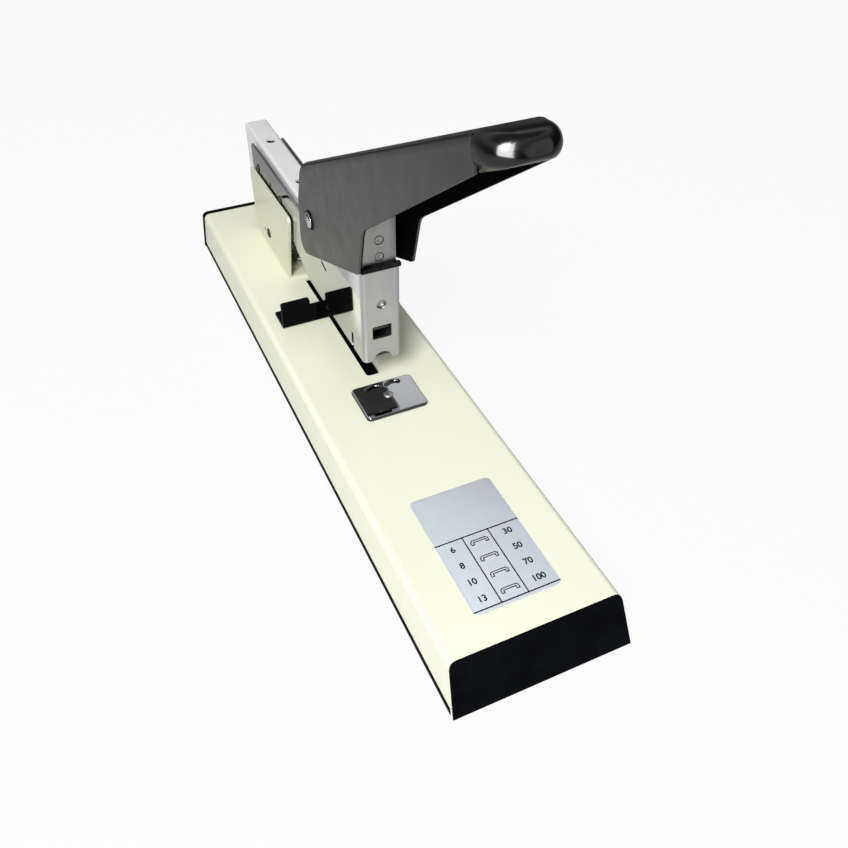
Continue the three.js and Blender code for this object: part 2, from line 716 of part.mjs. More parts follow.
piece('base', 'rear_bracket', rearBracket(), cream_paint);
pieces('base', 'bracket_rivet', bracket_rivet_places, ([x, y]) => turnedZ(bracket_rivet, x, y, web_top,
  rivet_facets), cream_paint);
piece('base', 'hinge_pin', hinge_pin, dark_steel);
piece('base', 'lift_spring', lift_spring, satin_steel);

// Depth stop: an angle plate with two arms, a shoe in the slot and a screw
const stop_base = base_height + stop_lift;

function depthStop() {
  const arm_inner = frame_width / 2 + stop_gap;
  const top = stop_base + stop_height;
  const step = stop_base + stop_step_height;
  const section = folded([[stop_y, top], [stop_y, stop_base], [stop_y + stop_foot, stop_base]].reverse(),
    stop_sheet, stop_bend);
  const half = stop_width / 2;
  const low = stop_base - overrun;
  const face = rounded([[-half, low], [half, low], [half, top, stop_corner],
    [arm_inner + stop_step_width, top, stop_corner], [arm_inner + stop_step_width, step],
    [arm_inner, step], [arm_inner, stop_base + stop_sheet], [-arm_inner, stop_base + stop_sheet],
    [-arm_inner, step], [-arm_inner - stop_step_width, step],
    [-arm_inner - stop_step_width, top, stop_corner], [-half, top, stop_corner]]);
  const blank = common(slabYZ(section, -half - overrun, half + overrun),
    slabXZ(face, stop_y - overrun, stop_y + stop_foot + overrun));
  return cut(blank, slabXY(circle(0, shoe_y, stop_screw_radius + seat_gap, rivet_facets), low, top));
}

const shoe_top = stop_base;
const shoe_shelf = cover_underside - stop_lift;
const shoe_foot = shoe_shelf - shoe_flange_thickness;
const shoe = cut(
  join(
    block(shoe_gap - slot_width / 2, slot_width / 2 - shoe_gap, shoe_y - shoe_length / 2,
      shoe_y + shoe_length / 2, shoe_foot, shoe_top),
    block(-shoe_flange_width / 2, shoe_flange_width / 2, shoe_y - shoe_length / 2, shoe_y + shoe_length / 2,
      shoe_foot, shoe_shelf)),
  slabXY(circle(0, shoe_y, stop_screw_radius + seat_gap, rivet_facets), shoe_foot - overrun,
    shoe_top + overrun));
const stop_screw_length = stop_base + stop_sheet - shoe_foot + stop_screw_head_height;
const stop_screw = turnedZ(domedProfile(stop_screw_head, stop_screw_head_height, stop_screw_radius,
  stop_screw_length), 0, shoe_y, stop_base + stop_sheet, rivet_facets);

piece('stop', 'depth_stop', depthStop(), black_satin);
piece('stop', 'stop_shoe', shoe, black_satin);
piece('stop', 'stop_screw', stop_screw, dark_steel);

// Frame: the folded sheet is a plan-view U cut to its side outline
const pivot_hole = circle(pivot_y, pivot_z, pivot_radius + seat_gap);

// An arc about a point, in (y, z), from one angle to another in degrees
function arcPoints(y, z, radius, from, to) {
  const steps = Math.ceil(Math.abs(to - from) * Math.PI / 180 / arc_step);
  return Array.from({ length: steps + 1 }, (_, k) => {
    const angle = (from + (to - from) * k / steps) * Math.PI / 180;
    return [y + radius * Math.cos(angle), z + radius * Math.sin(angle)];
  });
}

function frameSide() {
  const arm_under = head_foot + arm_bottom;
  const arm_over = head_foot + arm_top;
  return rounded([
    [head_face_y, head_foot], [sweep_start_y, head_foot, sweep_corner],
    [sweep_mid_y, head_foot + sweep_mid_rise, sweep_corner],
    [sweep_end_y, head_foot + sweep_end_rise, sweep_corner],
    [sweep_end_y + (arm_bottom - sweep_end_rise) / 2, arm_under, sweep_corner / 2],
    [lobe_front_y, arm_under, sweep_corner / 2], [lobe_front_y, bridge_z, sweep_corner],
    ...arcPoints(hinge_y, hinge_z, lobe_radius, 232, 350),
    [lobe_rear_y, arm_under, sweep_corner], [arm_rear_y, arm_under], [arm_rear_y, arm_over, sweep_corner / 3],
    [arm_front_y, arm_over, sweep_corner / 2],
    ...arcPoints(pivot_y, pivot_z, lug_radius, 20, 140),
    [shoulder_y - lug_radius, head_top, sweep_corner], [head_face_y, head_top],
  ]);
}

function headFrame() {
  const half = frame_width / 2;
  const plan = folded([[half, arm_rear_y + overrun], [half, head_face_y], [-half, head_face_y],
    [-half, arm_rear_y + overrun]], frame_sheet, frame_bend);
  const low = hinge_z - lobe_radius - overrun;
  const high = pivot_z + lug_radius + overrun;
  const reach = half + overrun;
  const blank = common(slabXY(plan, low, high), slabYZ(frameSide(), -reach, reach));
  const bridge = block(-frame_inner - seat_gap, frame_inner + seat_gap, bridge_y - bridge_length / 2,
    bridge_y + bridge_length / 2, bridge_z, bridge_z + frame_sheet);
  const plate_y0 = head_face_y - overrun;
  const plate_y1 = head_face_y + frame_sheet + overrun;
  const window_z = head_foot + window_rise;
  const slit = slabYZ(rectangle(-slit_length / 2, slit_length / 2, -slit_width / 2, slit_width / 2,
    slit_width / 2.5), -reach, reach).rotateX(slit_tilt).translate(0, slit_y, head_foot + slit_rise);
  return cut(join(blank, bridge),
    slabXZ(circle(0, head_foot + peep_rise, peep_radius), plate_y0, plate_y1),
    slabXZ(rectangle(-window_width / 2, window_width / 2, window_z - window_height / 2,
      window_z + window_height / 2, window_corner), plate_y0, plate_y1),
    slabXZ(circle(0, head_foot - notch_drop, notch_radius), plate_y0, plate_y1),
    slabYZ(rounded([[hook_y - hook_width / 2, head_foot - overrun], [hook_y + hook_width / 2,
      head_foot - overrun], [hook_y + hook_width / 2, head_foot + hook_height, hook_width / 2.1],
    [hook_y - hook_width / 2, head_foot + hook_height, hook_width / 2.1]]), -reach, reach),
    slit,
    slabYZ(rectangle(arm_slot_y - arm_slot_width / 2, arm_slot_y + arm_slot_width / 2,
      head_foot + arm_slot_rise - arm_slot_height / 2, head_foot + arm_slot_rise + arm_slot_height / 2,
      arm_slot_width / 2.1), -reach, reach),
    slabYZ(circle(hinge_y, hinge_z, hinge_radius + running_gap), -reach, reach),
    slabYZ(pivot_hole, -reach, reach),
    ...cross_rivet_ys.map((y) => slabYZ(circle(y, head_foot + cross_rivet_rise,
      cross_rivet_radius + seat_gap, rivet_facets), -reach, reach)));
}

function stapleRail() {
  const front = blade_rear + rail_front_gap;
  const top = head_foot + rail_top;
  const floor_top = head_foot + rail_floor;
  const half = rail_width / 2;
  const hat = folded([[-half, floor_top - seat_gap], [-half, top], [half, top], [half,
    floor_top - seat_gap]], rail_wall, rail_wall);
  return join(block(-frame_inner, frame_inner, front, rail_rear_y, head_foot, floor_top),
    slabXZ(hat, front, rail_rear_y));
}

function topChannel() {
  const half = channel_width / 2;
  const top = head_foot + channel_top;
  const leg = top - channel_leg;
  const tail_leg = top - channel_tail_leg;
  const section = folded([[-half, tail_leg], [-half, top], [half, top], [half, tail_leg]], channel_sheet,
    channel_bend);
  const side = rounded([[channel_front_y, leg], [channel_tail_y, leg, channel_bend],
    [channel_tail_y, tail_leg, channel_bend], [channel_rear_y, tail_leg], [channel_rear_y, top],
    [channel_front_y, top]]);
  const reach = half + overrun;
  const blank = common(slabXZ(section, channel_front_y, channel_rear_y), slabYZ(side, -reach, reach));
  const end_plate = slabXZ(rectangle(-half, half, tail_leg, top, channel_bend),
    channel_rear_y - channel_sheet, channel_rear_y);
  return cut(join(blank, end_plate),
    slabXZ(circle(0, rod_z, rod_radius + seat_gap, rivet_facets), channel_rear_y - overrun,
      channel_rear_y + overrun),
    ...channel_hole_ys.map((y) => slabXY(circle(0, y, channel_hole_radius), top - overrun, top + overrun)),
    ...cross_rivet_ys.map((y) => slabYZ(circle(y, head_foot + cross_rivet_rise,
      cross_rivet_radius + seat_gap, rivet_facets), -reach, reach)));
}

function crossRivet(y) {
  const half = frame_width / 2;
  const length = frame_width;
  const proud = cross_rivet_proud;
  return turnedX([[0, -proud], [cross_rivet_head, -proud], [cross_rivet_head, 0], [cross_rivet_radius, 0],
    [cross_rivet_radius, length], [cross_rivet_head, length], [cross_rivet_head, length + proud],
    [0, length + proud]], -half, y, head_foot + cross_rivet_rise, rivet_facets);
}

function springSeat() {
  const front = blade_rear + seat_front_gap;
  const section = folded([[front, seat_z], [seat_rear_y, seat_z], [seat_rear_y, seat_top + seat_back_height]]
    .reverse(), seat_sheet, 2 * seat_sheet);
  return cut(slabYZ(section, -frame_inner, frame_inner),
    slabXZ(circle(0, rod_z, rod_radius + seat_gap, rivet_facets), seat_rear_y - overrun,
      seat_rear_y + overrun));
}

const rod_front = seat_rear_y - seat_sheet + seat_gap;
const guide_rod = slabXZ(circle(0, rod_z, rod_radius, rivet_facets), rod_front, channel_rear_y + rod_proud);
const rod_nut = slabXZ(circle(0, rod_z, rod_nut_radius, 6), channel_rear_y, channel_rear_y + rod_nut_length,
  [circle(0, rod_z, rod_radius + seat_gap, rivet_facets)]);
const head_bumper = slabXZ(rectangle(-frame_width / 2, frame_width / 2, head_top, head_top + bumper_height,
  bumper_height / 4), head_face_y - bumper_forward, head_face_y - bumper_forward + bumper_depth);
const hinge_bush = cut(
  slabYZ(circle(hinge_y, hinge_z, hinge_radius + running_gap + hinge_bush_wall), -frame_inner, frame_inner),
  slabYZ(circle(hinge_y, hinge_z, hinge_radius + running_gap), -frame_width, frame_width));

piece('frame', 'head_frame', headFrame(), polished_steel);
piece('frame', 'staple_rail', stapleRail(), satin_steel);
piece('frame', 'top_channel', topChannel(), satin_steel);
pieces('frame', 'cross_rivet', cross_rivet_ys, crossRivet, satin_steel);
piece('frame', 'spring_seat', springSeat(), satin_steel);
piece('frame', 'guide_rod', guide_rod, satin_steel);
piece('frame', 'rod_nut', rod_nut, satin_steel);
piece('frame', 'head_bumper', head_bumper, black_rubber);
piece('frame', 'hinge_bush', hinge_bush, satin_steel);

// Pivot screw, nut and spacer washers, held by the frame
const head_seat = lever_width / 2 + running_gap;
const screw_profile = domedProfile(pivot_head_radius, pivot_head_height, pivot_radius,
  2 * head_seat + pivot_nut_height);
const slot_level = head_seat + pivot_head_height - pivot_slot_depth;
const pivot_screw = cut(
  turnedX(screw_profile, 0, 0, 0).rotateZ(Math.PI).translate(-head_seat, pivot_y, pivot_z),
  slabYZ(rectangle(-pivot_head_radius - overrun, pivot_head_radius + overrun, -pivot_slot_width / 2,
    pivot_slot_width / 2), -slot_level - overrun, -slot_level).rotateX(lever_raise)
    .translate(0, pivot_y, pivot_z));
const pivot_nut = cut(
  slabYZ(circle(pivot_y, pivot_z, pivot_nut_radius, 6), head_seat, head_seat + pivot_nut_height),
  slabYZ(pivot_hole, head_seat - overrun, head_seat + pivot_nut_height + overrun));
const washer = (side) => {
  const inner = frame_width / 2;
  const outer = lever_inner - running_gap;
  return cut(slabYZ(circle(pivot_y, pivot_z, pivot_washer_radius), Math.min(side * inner, side * outer),
    Math.max(side * inner, side * outer)), slabYZ(pivot_hole, -lever_width, lever_width));
};

piece('frame', 'pivot_screw', pivot_screw, chrome);
piece('frame', 'pivot_nut', pivot_nut, satin_steel);
pieces('frame', 'pivot_washer', [-1, 1], washer, satin_steel);

// Driver: yoke, blade and rivets slide down the head behind its front plate
const yoke_front = blade_rear;
const yoke_rear = yoke_front + yoke_depth;
const yoke_foot = driver_top_z - yoke_height;
const link_z = head_foot + link_rise;

function driverYoke() {
  const half = yoke_width / 2;
  const plan = folded([[half, yoke_rear], [half, yoke_front], [-half, yoke_front], [-half, yoke_rear]],
    yoke_sheet, yoke_bend);
  const tongue = block(-tongue_width / 2, tongue_width / 2, yoke_front, yoke_rear,
    driver_top_z - yoke_sheet, driver_top_z);
  const slot_height = 2 * (link_radius + link_slot_gap);
  const slot_y = link_back - link_slot_forward;
  return cut(join(slabXY(plan, yoke_foot, driver_top_z), tongue),
    slabYZ(rectangle(slot_y - link_slot_length / 2, slot_y + link_slot_length / 2,
      link_z - slot_height / 2, link_z + slot_height / 2, slot_height / 2.1), -yoke_width, yoke_width),
    ...blade_rivet_rises.map((rise) => slabXZ(circle(0, head_foot + rise, blade_rivet_radius + seat_gap,
      rivet_facets), yoke_front - overrun, yoke_front + yoke_sheet)));
}

const driver_blade = cut(
  slabXZ(rectangle(-blade_width / 2, blade_width / 2, head_foot + driver_stroke, driver_top_z), blade_front,
    blade_rear),
  ...blade_rivet_rises.map((rise) => slabXZ(circle(0, head_foot + rise, blade_rivet_radius + running_gap,
    rivet_facets), blade_front - overrun, blade_rear + overrun)));
const bladeRivet = (rise) => slabXZ(circle(0, head_foot + rise, blade_rivet_radius, rivet_facets),
  blade_front, yoke_front + yoke_sheet);
const driver_spring = coil('driver_spring', driver_coil_radius, driver_wire, driver_curls,
  driver_top_z - yoke_sheet - seat_top).translate(0, driver_spring_y, seat_top);

piece('driver', 'driver_yoke', driverYoke(), satin_steel);
piece('driver', 'driver_blade', driver_blade, satin_steel);
pieces('driver', 'blade_rivet', blade_rivet_rises, bladeRivet, satin_steel);
piece('frame', 'driver_spring', driver_spring, dark_steel);

// Staple pusher and its spring
const pusher_front = blade_rear + pusher_front_gap;

function staplePusher() {
  const half = rail_width / 2 + pusher_rail_gap + pusher_wall;
  const roof = head_foot + rail_top + pusher_rail_gap + pusher_roof;
  const skirt = roof - pusher_skirt;
  const rear = pusher_front + pusher_length;
  const hollow_half = rail_width / 2 + pusher_rail_gap;
  const shell = cut(slabXZ(rectangle(-half, half, skirt, roof), pusher_front, rear),
    block(-hollow_half, hollow_half, pusher_front - overrun, rear + overrun, skirt - overrun,
      roof - pusher_roof));
  const boss_front = rear - pusher_boss_length;
  return cut(join(shell,
    block(-pusher_neck_width / 2, pusher_neck_width / 2, boss_front, rear, roof - seat_gap, rod_z),
    slabXZ(circle(0, rod_z, pusher_boss_radius), boss_front, rear)),
  slabXZ(circle(0, rod_z, rod_radius + running_gap, rivet_facets), boss_front - overrun, rear + overrun));
}

const spring_front = pusher_front + pusher_length;
const spring_rear = channel_rear_y - channel_sheet;
const pusher_spring = coil('pusher_spring', pusher_coil_radius, pusher_wire, pusher_curls,
  spring_rear - spring_front).rotateX(-Math.PI / 2).translate(0, spring_front, rod_z);

piece('pusher', 'staple_pusher', staplePusher(), satin_steel);
piece('frame', 'pusher_spring', pusher_spring, dark_steel);

// Lever: a folded channel cut to its side outline, drawn level about its pivot
function leverChannel() {
  const half = lever_width / 2;
  const low = -cheek_front_drop - overrun;
  const section = folded([[-half, low], [-half, lever_top], [half, lever_top], [half, low]], lever_sheet,
    lever_bend);
  const side = rounded([
    [web_rear, lever_top, cheek_tip_corner], [-lever_reach, lever_top],
    [-lever_reach, lever_top - lever_end_depth], [-throat_front, -throat_drop, throat_radius],
    [-cheek_front, -cheek_front_drop, cheek_tip_corner], [cheek_rear, -cheek_rear_drop, cheek_corner],
    [cheek_rear_bulge_y, cheek_rear_bulge_rise, cheek_corner],
  ]);
  const reach = half + overrun;
  const blank = common(slabXZ(section, -lever_reach - overrun, cheek_rear + overrun),
    slabYZ(side, -reach, reach));
  return cut(blank, slabYZ(circle(0, 0, pivot_radius + running_gap), -reach, reach));
}

// The link pin's place, seen in the level lever's own axes
const link_local = new THREE.Vector3(0, link_back - pivot_y, link_z - pivot_z)
  .applyAxisAngle(new THREE.Vector3(1, 0, 0), lever_raise);

// A small U under the lever's web, whose two ears reach down into the head and hold the link pin
function linkBracket() {
  const half = tongue_width / 2 + ear_gap + link_ear_sheet;
  const top = lever_top - lever_sheet - turned_gap;
  const low = link_local.z - link_ear_depth / 2;
  const section = folded([[-half, low], [-half, top], [half, top], [half, low]], link_ear_sheet,
    link_ear_bend);
  const side = rounded([
    [link_local.y - link_ear_depth / 2, low, link_ear_depth / 2.1],
    [link_local.y + link_ear_depth / 2, low, link_ear_depth / 2.1],
    [link_local.y + link_ear_depth / 2, top], [link_local.y - link_ear_depth / 2, top]]);
  const reach = half + overrun;
  return cut(common(slabXZ(section, link_local.y - link_ear_depth, link_local.y + link_ear_depth),
    slabYZ(side, -reach, reach)),
  slabYZ(circle(link_local.y, link_local.z, link_radius + seat_gap), -reach, reach));
}

// How full a rounded end still is at a share of its length
const fullness = (share, power) => (1 - share ** power) ** (1 / power);

function leverGrip() {
  const half_x = lever_width / 2 + grip_proud;
  const half_z = lever_end_depth / 2 + grip_proud;
  const middle = lever_top - lever_end_depth / 2;
  const rings = Array.from({ length: grip_sections }, (_, i) => {
    const share = Math.sin(Math.PI / 2 * i / (grip_sections - 0.5)) ** (2 / grip_plan_power);
    const wide = half_x * fullness(share, grip_plan_power);
    const thick = half_z * fullness(share, grip_side_power);
    const y = -lever_reach - turned_gap - grip_length * share;
    return rectangle(-wide, wide, middle - thick, middle + thick, lever_bend + grip_proud)
      .map((p) => new THREE.Vector3(p.x, y, p.y));
  });
  const plug_half = lever_inner - grip_plug_gap;
  const plug_top = lever_top - lever_sheet - grip_plug_gap;
  const plug = slabXZ(rectangle(-plug_half, plug_half, lever_top - lever_end_depth, plug_top,
    lever_bend - lever_sheet), -lever_reach - turned_gap - seat_gap, grip_plug_length - lever_reach);
  return join(loft(rings), plug);
}

const link_reach = frame_inner - link_end_gap;
const link_pin = slabYZ(circle(link_local.y, link_local.z, link_radius), -link_reach, link_reach);

bodies.lever.position.set(0, pivot_y, pivot_z);
bodies.lever.rotation.x = -lever_raise;
piece('lever', 'lever', leverChannel(), black_gloss);
piece('lever', 'lever_grip', leverGrip(), black_gloss);
piece('lever', 'link_bracket', linkBracket(), dark_steel);
piece('lever', 'link_pin', link_pin, dark_steel);

export default stapler;
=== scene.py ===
"""Looks of the heavy duty stapler: finer copies of the CAD pieces, their finishes, the label, light and camera.

Metres, in the frame of the CAD model: +Z up, the front end towards -Y, the desk at Z = 0.
"""

import json
from math import cos, hypot, pi, radians, sin, tau

import bmesh
import bpy
from mathutils import Matrix, Vector


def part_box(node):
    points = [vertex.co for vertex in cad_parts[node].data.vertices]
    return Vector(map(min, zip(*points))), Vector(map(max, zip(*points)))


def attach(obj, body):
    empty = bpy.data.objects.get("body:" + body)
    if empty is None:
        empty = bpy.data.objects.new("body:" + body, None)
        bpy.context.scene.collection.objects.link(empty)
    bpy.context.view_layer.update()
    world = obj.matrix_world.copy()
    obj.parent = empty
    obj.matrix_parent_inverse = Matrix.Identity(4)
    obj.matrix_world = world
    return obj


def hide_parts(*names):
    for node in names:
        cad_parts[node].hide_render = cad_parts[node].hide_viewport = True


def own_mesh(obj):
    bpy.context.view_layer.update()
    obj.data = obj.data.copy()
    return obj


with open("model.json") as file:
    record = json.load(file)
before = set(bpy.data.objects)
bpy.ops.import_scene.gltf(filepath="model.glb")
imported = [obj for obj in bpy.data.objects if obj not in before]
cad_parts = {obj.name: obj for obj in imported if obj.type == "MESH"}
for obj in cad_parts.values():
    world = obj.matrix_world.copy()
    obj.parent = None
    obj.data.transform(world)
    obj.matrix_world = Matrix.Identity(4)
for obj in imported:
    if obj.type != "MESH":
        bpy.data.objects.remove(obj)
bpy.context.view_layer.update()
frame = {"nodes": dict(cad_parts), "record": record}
MM = 0.001

# Camera, fitted to the photo's edges
CAMERA_PLACE = Vector((-0.09522, -0.25072, 0.24067))
CAMERA_AZIMUTH = radians(-25.887)
CAMERA_ELEVATION = radians(43.611)
CAMERA_ROLL = radians(1.223)
CAMERA_LENS = 36.04
CAMERA_SENSOR = 36.0
CAMERA_NEAR = 0.01

# Light: a soft key from the front left. A broad panel and a dim window only show in the glossiest pieces.
KEY_PLACE = (-0.42, -0.54, 0.70)
KEY_SIZE = 0.32
KEY_POWER = 10.1
PANEL_PLACE = (-0.36, -0.52, 0.386)
PANEL_SIZE = 0.56
PANEL_POWER = 22.0
WINDOW_PLACE = (0.56, -0.78, 0.29)
WINDOW_WIDTH = 0.8
WINDOW_HEIGHT = 0.5
WINDOW_POWER = 1.1
LIGHT_AIM = Vector((0, 0, 0.05))
GLOSSY_PIECES = ("lever_grip_moulded", "pivot_screw_head")

# World: its strength as light, and how bright mirror rays see it by their height, 0 if level and 1 if upright
WORLD_STRENGTH = 0.34
HORIZON_LEVEL = 0.05
OVERHEAD_LEVEL = 0.3
BRIGHTENS = (0.3, 0.62)          # heights between which it goes from the horizon's level to white
DIMS = (0.58, 0.82)              # heights between which it goes from there to the overhead level

FLOOR_SIZE = 6.0
FLOOR_WHITE = 0.93               # share of plain white in what the lens sees of the floor


def view_axes(azimuth, elevation, roll):
    """Right, up and backward directions of a camera."""
    back = Vector((sin(azimuth) * cos(elevation), -cos(azimuth) * cos(elevation), sin(elevation)))
    right = (-back).cross(Vector((0, 0, 1))).normalized()
    up = right.cross(-back)
    turned_right = right * cos(roll) + up * sin(roll)
    return turned_right, up * cos(roll) - right * sin(roll), back


def make_camera():
    data = bpy.data.cameras.new("camera")
    data.sensor_width = CAMERA_SENSOR
    data.lens = CAMERA_LENS
    data.clip_start = CAMERA_NEAR
    camera = bpy.data.objects.new("camera", data)
    bpy.context.scene.collection.objects.link(camera)
    right, up, back = view_axes(CAMERA_AZIMUTH, CAMERA_ELEVATION, CAMERA_ROLL)
    turn = Matrix((right, up, back)).transposed().to_4x4()
    camera.matrix_world = Matrix.Translation(CAMERA_PLACE) @ turn
    bpy.context.scene.camera = camera


def area_light(name, place, width, height, power, shown_in=()):
    """A rectangular lamp. Where shown_in names pieces, it only shows as a reflection in those."""
    data = bpy.data.lights.new(name, "AREA")
    data.shape = "RECTANGLE"
    data.size = width
    data.size_y = height
    data.energy = power
    light = bpy.data.objects.new(name, data)
    light.location = place
    light.rotation_euler = (LIGHT_AIM - Vector(place)).to_track_quat("-Z", "Y").to_euler()
    bpy.context.scene.collection.objects.link(light)
    if shown_in:
        receivers = bpy.data.collections.new(f"{name}_receivers")
        for piece in shown_in:
            receivers.objects.link(bpy.data.objects[piece])
        light.light_linking.receiver_collection = receivers
        light.visible_diffuse = False


def make_world():
    """A white studio. Mirror rays see it bright half way up, dimmer overhead and dark at the horizon."""
    world = bpy.data.worlds.new("studio")
    world.use_nodes = True
    nodes = world.node_tree.nodes
    links = world.node_tree.links
    nodes.clear()

    def background(strength):
        node = nodes.new("ShaderNodeBackground")
        node.inputs["Strength"].default_value = strength
        return node

    def spread(source, low, high, start=0.0, end=1.0):
        node = nodes.new("ShaderNodeMapRange")
        for key, value in (("From Min", start), ("From Max", end), ("To Min", low), ("To Max", high)):
            node.inputs[key].default_value = value
        links.new(source, node.inputs["Value"])
        return node

    def mixed(factor, a, b):
        node = nodes.new("ShaderNodeMixShader")
        for number, source in enumerate((factor, a, b)):
            links.new(source, node.inputs[number])
        return node.outputs[0]

    direction = nodes.new("ShaderNodeSeparateXYZ")
    links.new(nodes.new("ShaderNodeTexCoord").outputs["Generated"], direction.inputs[0])
    level = spread(direction.outputs["Z"], HORIZON_LEVEL, 1.0, *BRIGHTENS)
    overhead = spread(direction.outputs["Z"], 0.0, 1.0, *DIMS)
    dimmed = spread(overhead.outputs["Result"], 0.0, OVERHEAD_LEVEL)
    links.new(level.outputs["Result"], dimmed.inputs["To Min"])
    mirrored = background(1.0)
    links.new(dimmed.outputs["Result"], mirrored.inputs["Strength"])
    path = nodes.new("ShaderNodeLightPath")
    reflected = mixed(path.outputs["Is Glossy Ray"], background(WORLD_STRENGTH).outputs[0], mirrored.outputs[0])
    seen = mixed(path.outputs["Is Camera Ray"], reflected, background(1.0).outputs[0])
    links.new(seen, nodes.new("ShaderNodeOutputWorld").inputs["Surface"])
    bpy.context.scene.world = world


def make_studio():
    scene = bpy.context.scene
    scene.view_settings.view_transform = "Standard"
    make_world()
    area_light("key_light", KEY_PLACE, KEY_SIZE, KEY_SIZE, KEY_POWER)
    area_light("panel_light", PANEL_PLACE, PANEL_SIZE, PANEL_SIZE, PANEL_POWER, GLOSSY_PIECES)
    area_light("window_light", WINDOW_PLACE, WINDOW_WIDTH, WINDOW_HEIGHT, WINDOW_POWER, GLOSSY_PIECES)
    half = FLOOR_SIZE / 2
    corners = [(-half, -half, 0), (half, -half, 0), (half, half, 0), (-half, half, 0)]
    floor_mesh = bpy.data.meshes.new("floor")
    floor_mesh.from_pydata(corners, [], [(0, 1, 2, 3)])
    floor_mesh.materials.append(FLOOR)
    floor = bpy.data.objects.new("floor", floor_mesh)
    scene.collection.objects.link(floor)


# Zones of the finishes, and of painted highlight and shade
HEAD_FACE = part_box("head_frame")[0][1]
HEAD_FOLD = (HEAD_FACE + 0.9 * MM, HEAD_FACE + 2.2 * MM)      # Y: from the front plate to the sides
HEAD_HIGHLIGHT_HEIGHT = (44 * MM, 54 * MM)                               # Z: above this the front of the sides carries a painted highlight
HEAD_HIGHLIGHT_REACH = (HEAD_FACE + 14 * MM, HEAD_FACE + 6 * MM)        # Y: from the sides' painted highlight at the front to the rest
HEAD_SHADE_REAR = (50 * MM, 85 * MM)                                # Y: where the sides turn dark, as painted shade
ANVIL_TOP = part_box("anvil_plate")[1][2]
ANVIL_SHADE_DEPTH = (ANVIL_TOP - 0.06 * MM, ANVIL_TOP - 0.14 * MM)    # Z: below this the plating is painted dark, as shade
LEVER_RAISE = radians(27.4)                                   # how far the lever points up at rest
LEVER_ALONG = (0, -cos(LEVER_RAISE), sin(LEVER_RAISE))        # from the pivot to the grip
LEVER_UP = (0, sin(LEVER_RAISE), cos(LEVER_RAISE))            # square to the lever's roof
LEVER_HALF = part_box("lever")[1][0]
LEVER_ROOF = 98.4 * MM                                        # along LEVER_UP: the roof's outer face
EDGE_LEAN = (0.98, 0.75)                                      # cosines: where wear starts and where it is full
EDGE_REACH = 0.3 * MM                                         # how far from an edge the paint wears
INSIDE_SHADE_DEPTH = 1.0 * MM                                       # under the outer faces: deeper is the inside, dull and painted near black as shade
PAINT_DEPTH = 0.6 * MM                                        # under the outer faces: up to here is paint
LEVER_FADE = (70 * MM, 150 * MM)                              # along LEVER_ALONG: where its shine goes down
GRIP_FADE = (158 * MM, 164 * MM)                              # along LEVER_ALONG: where dull turns to glossy


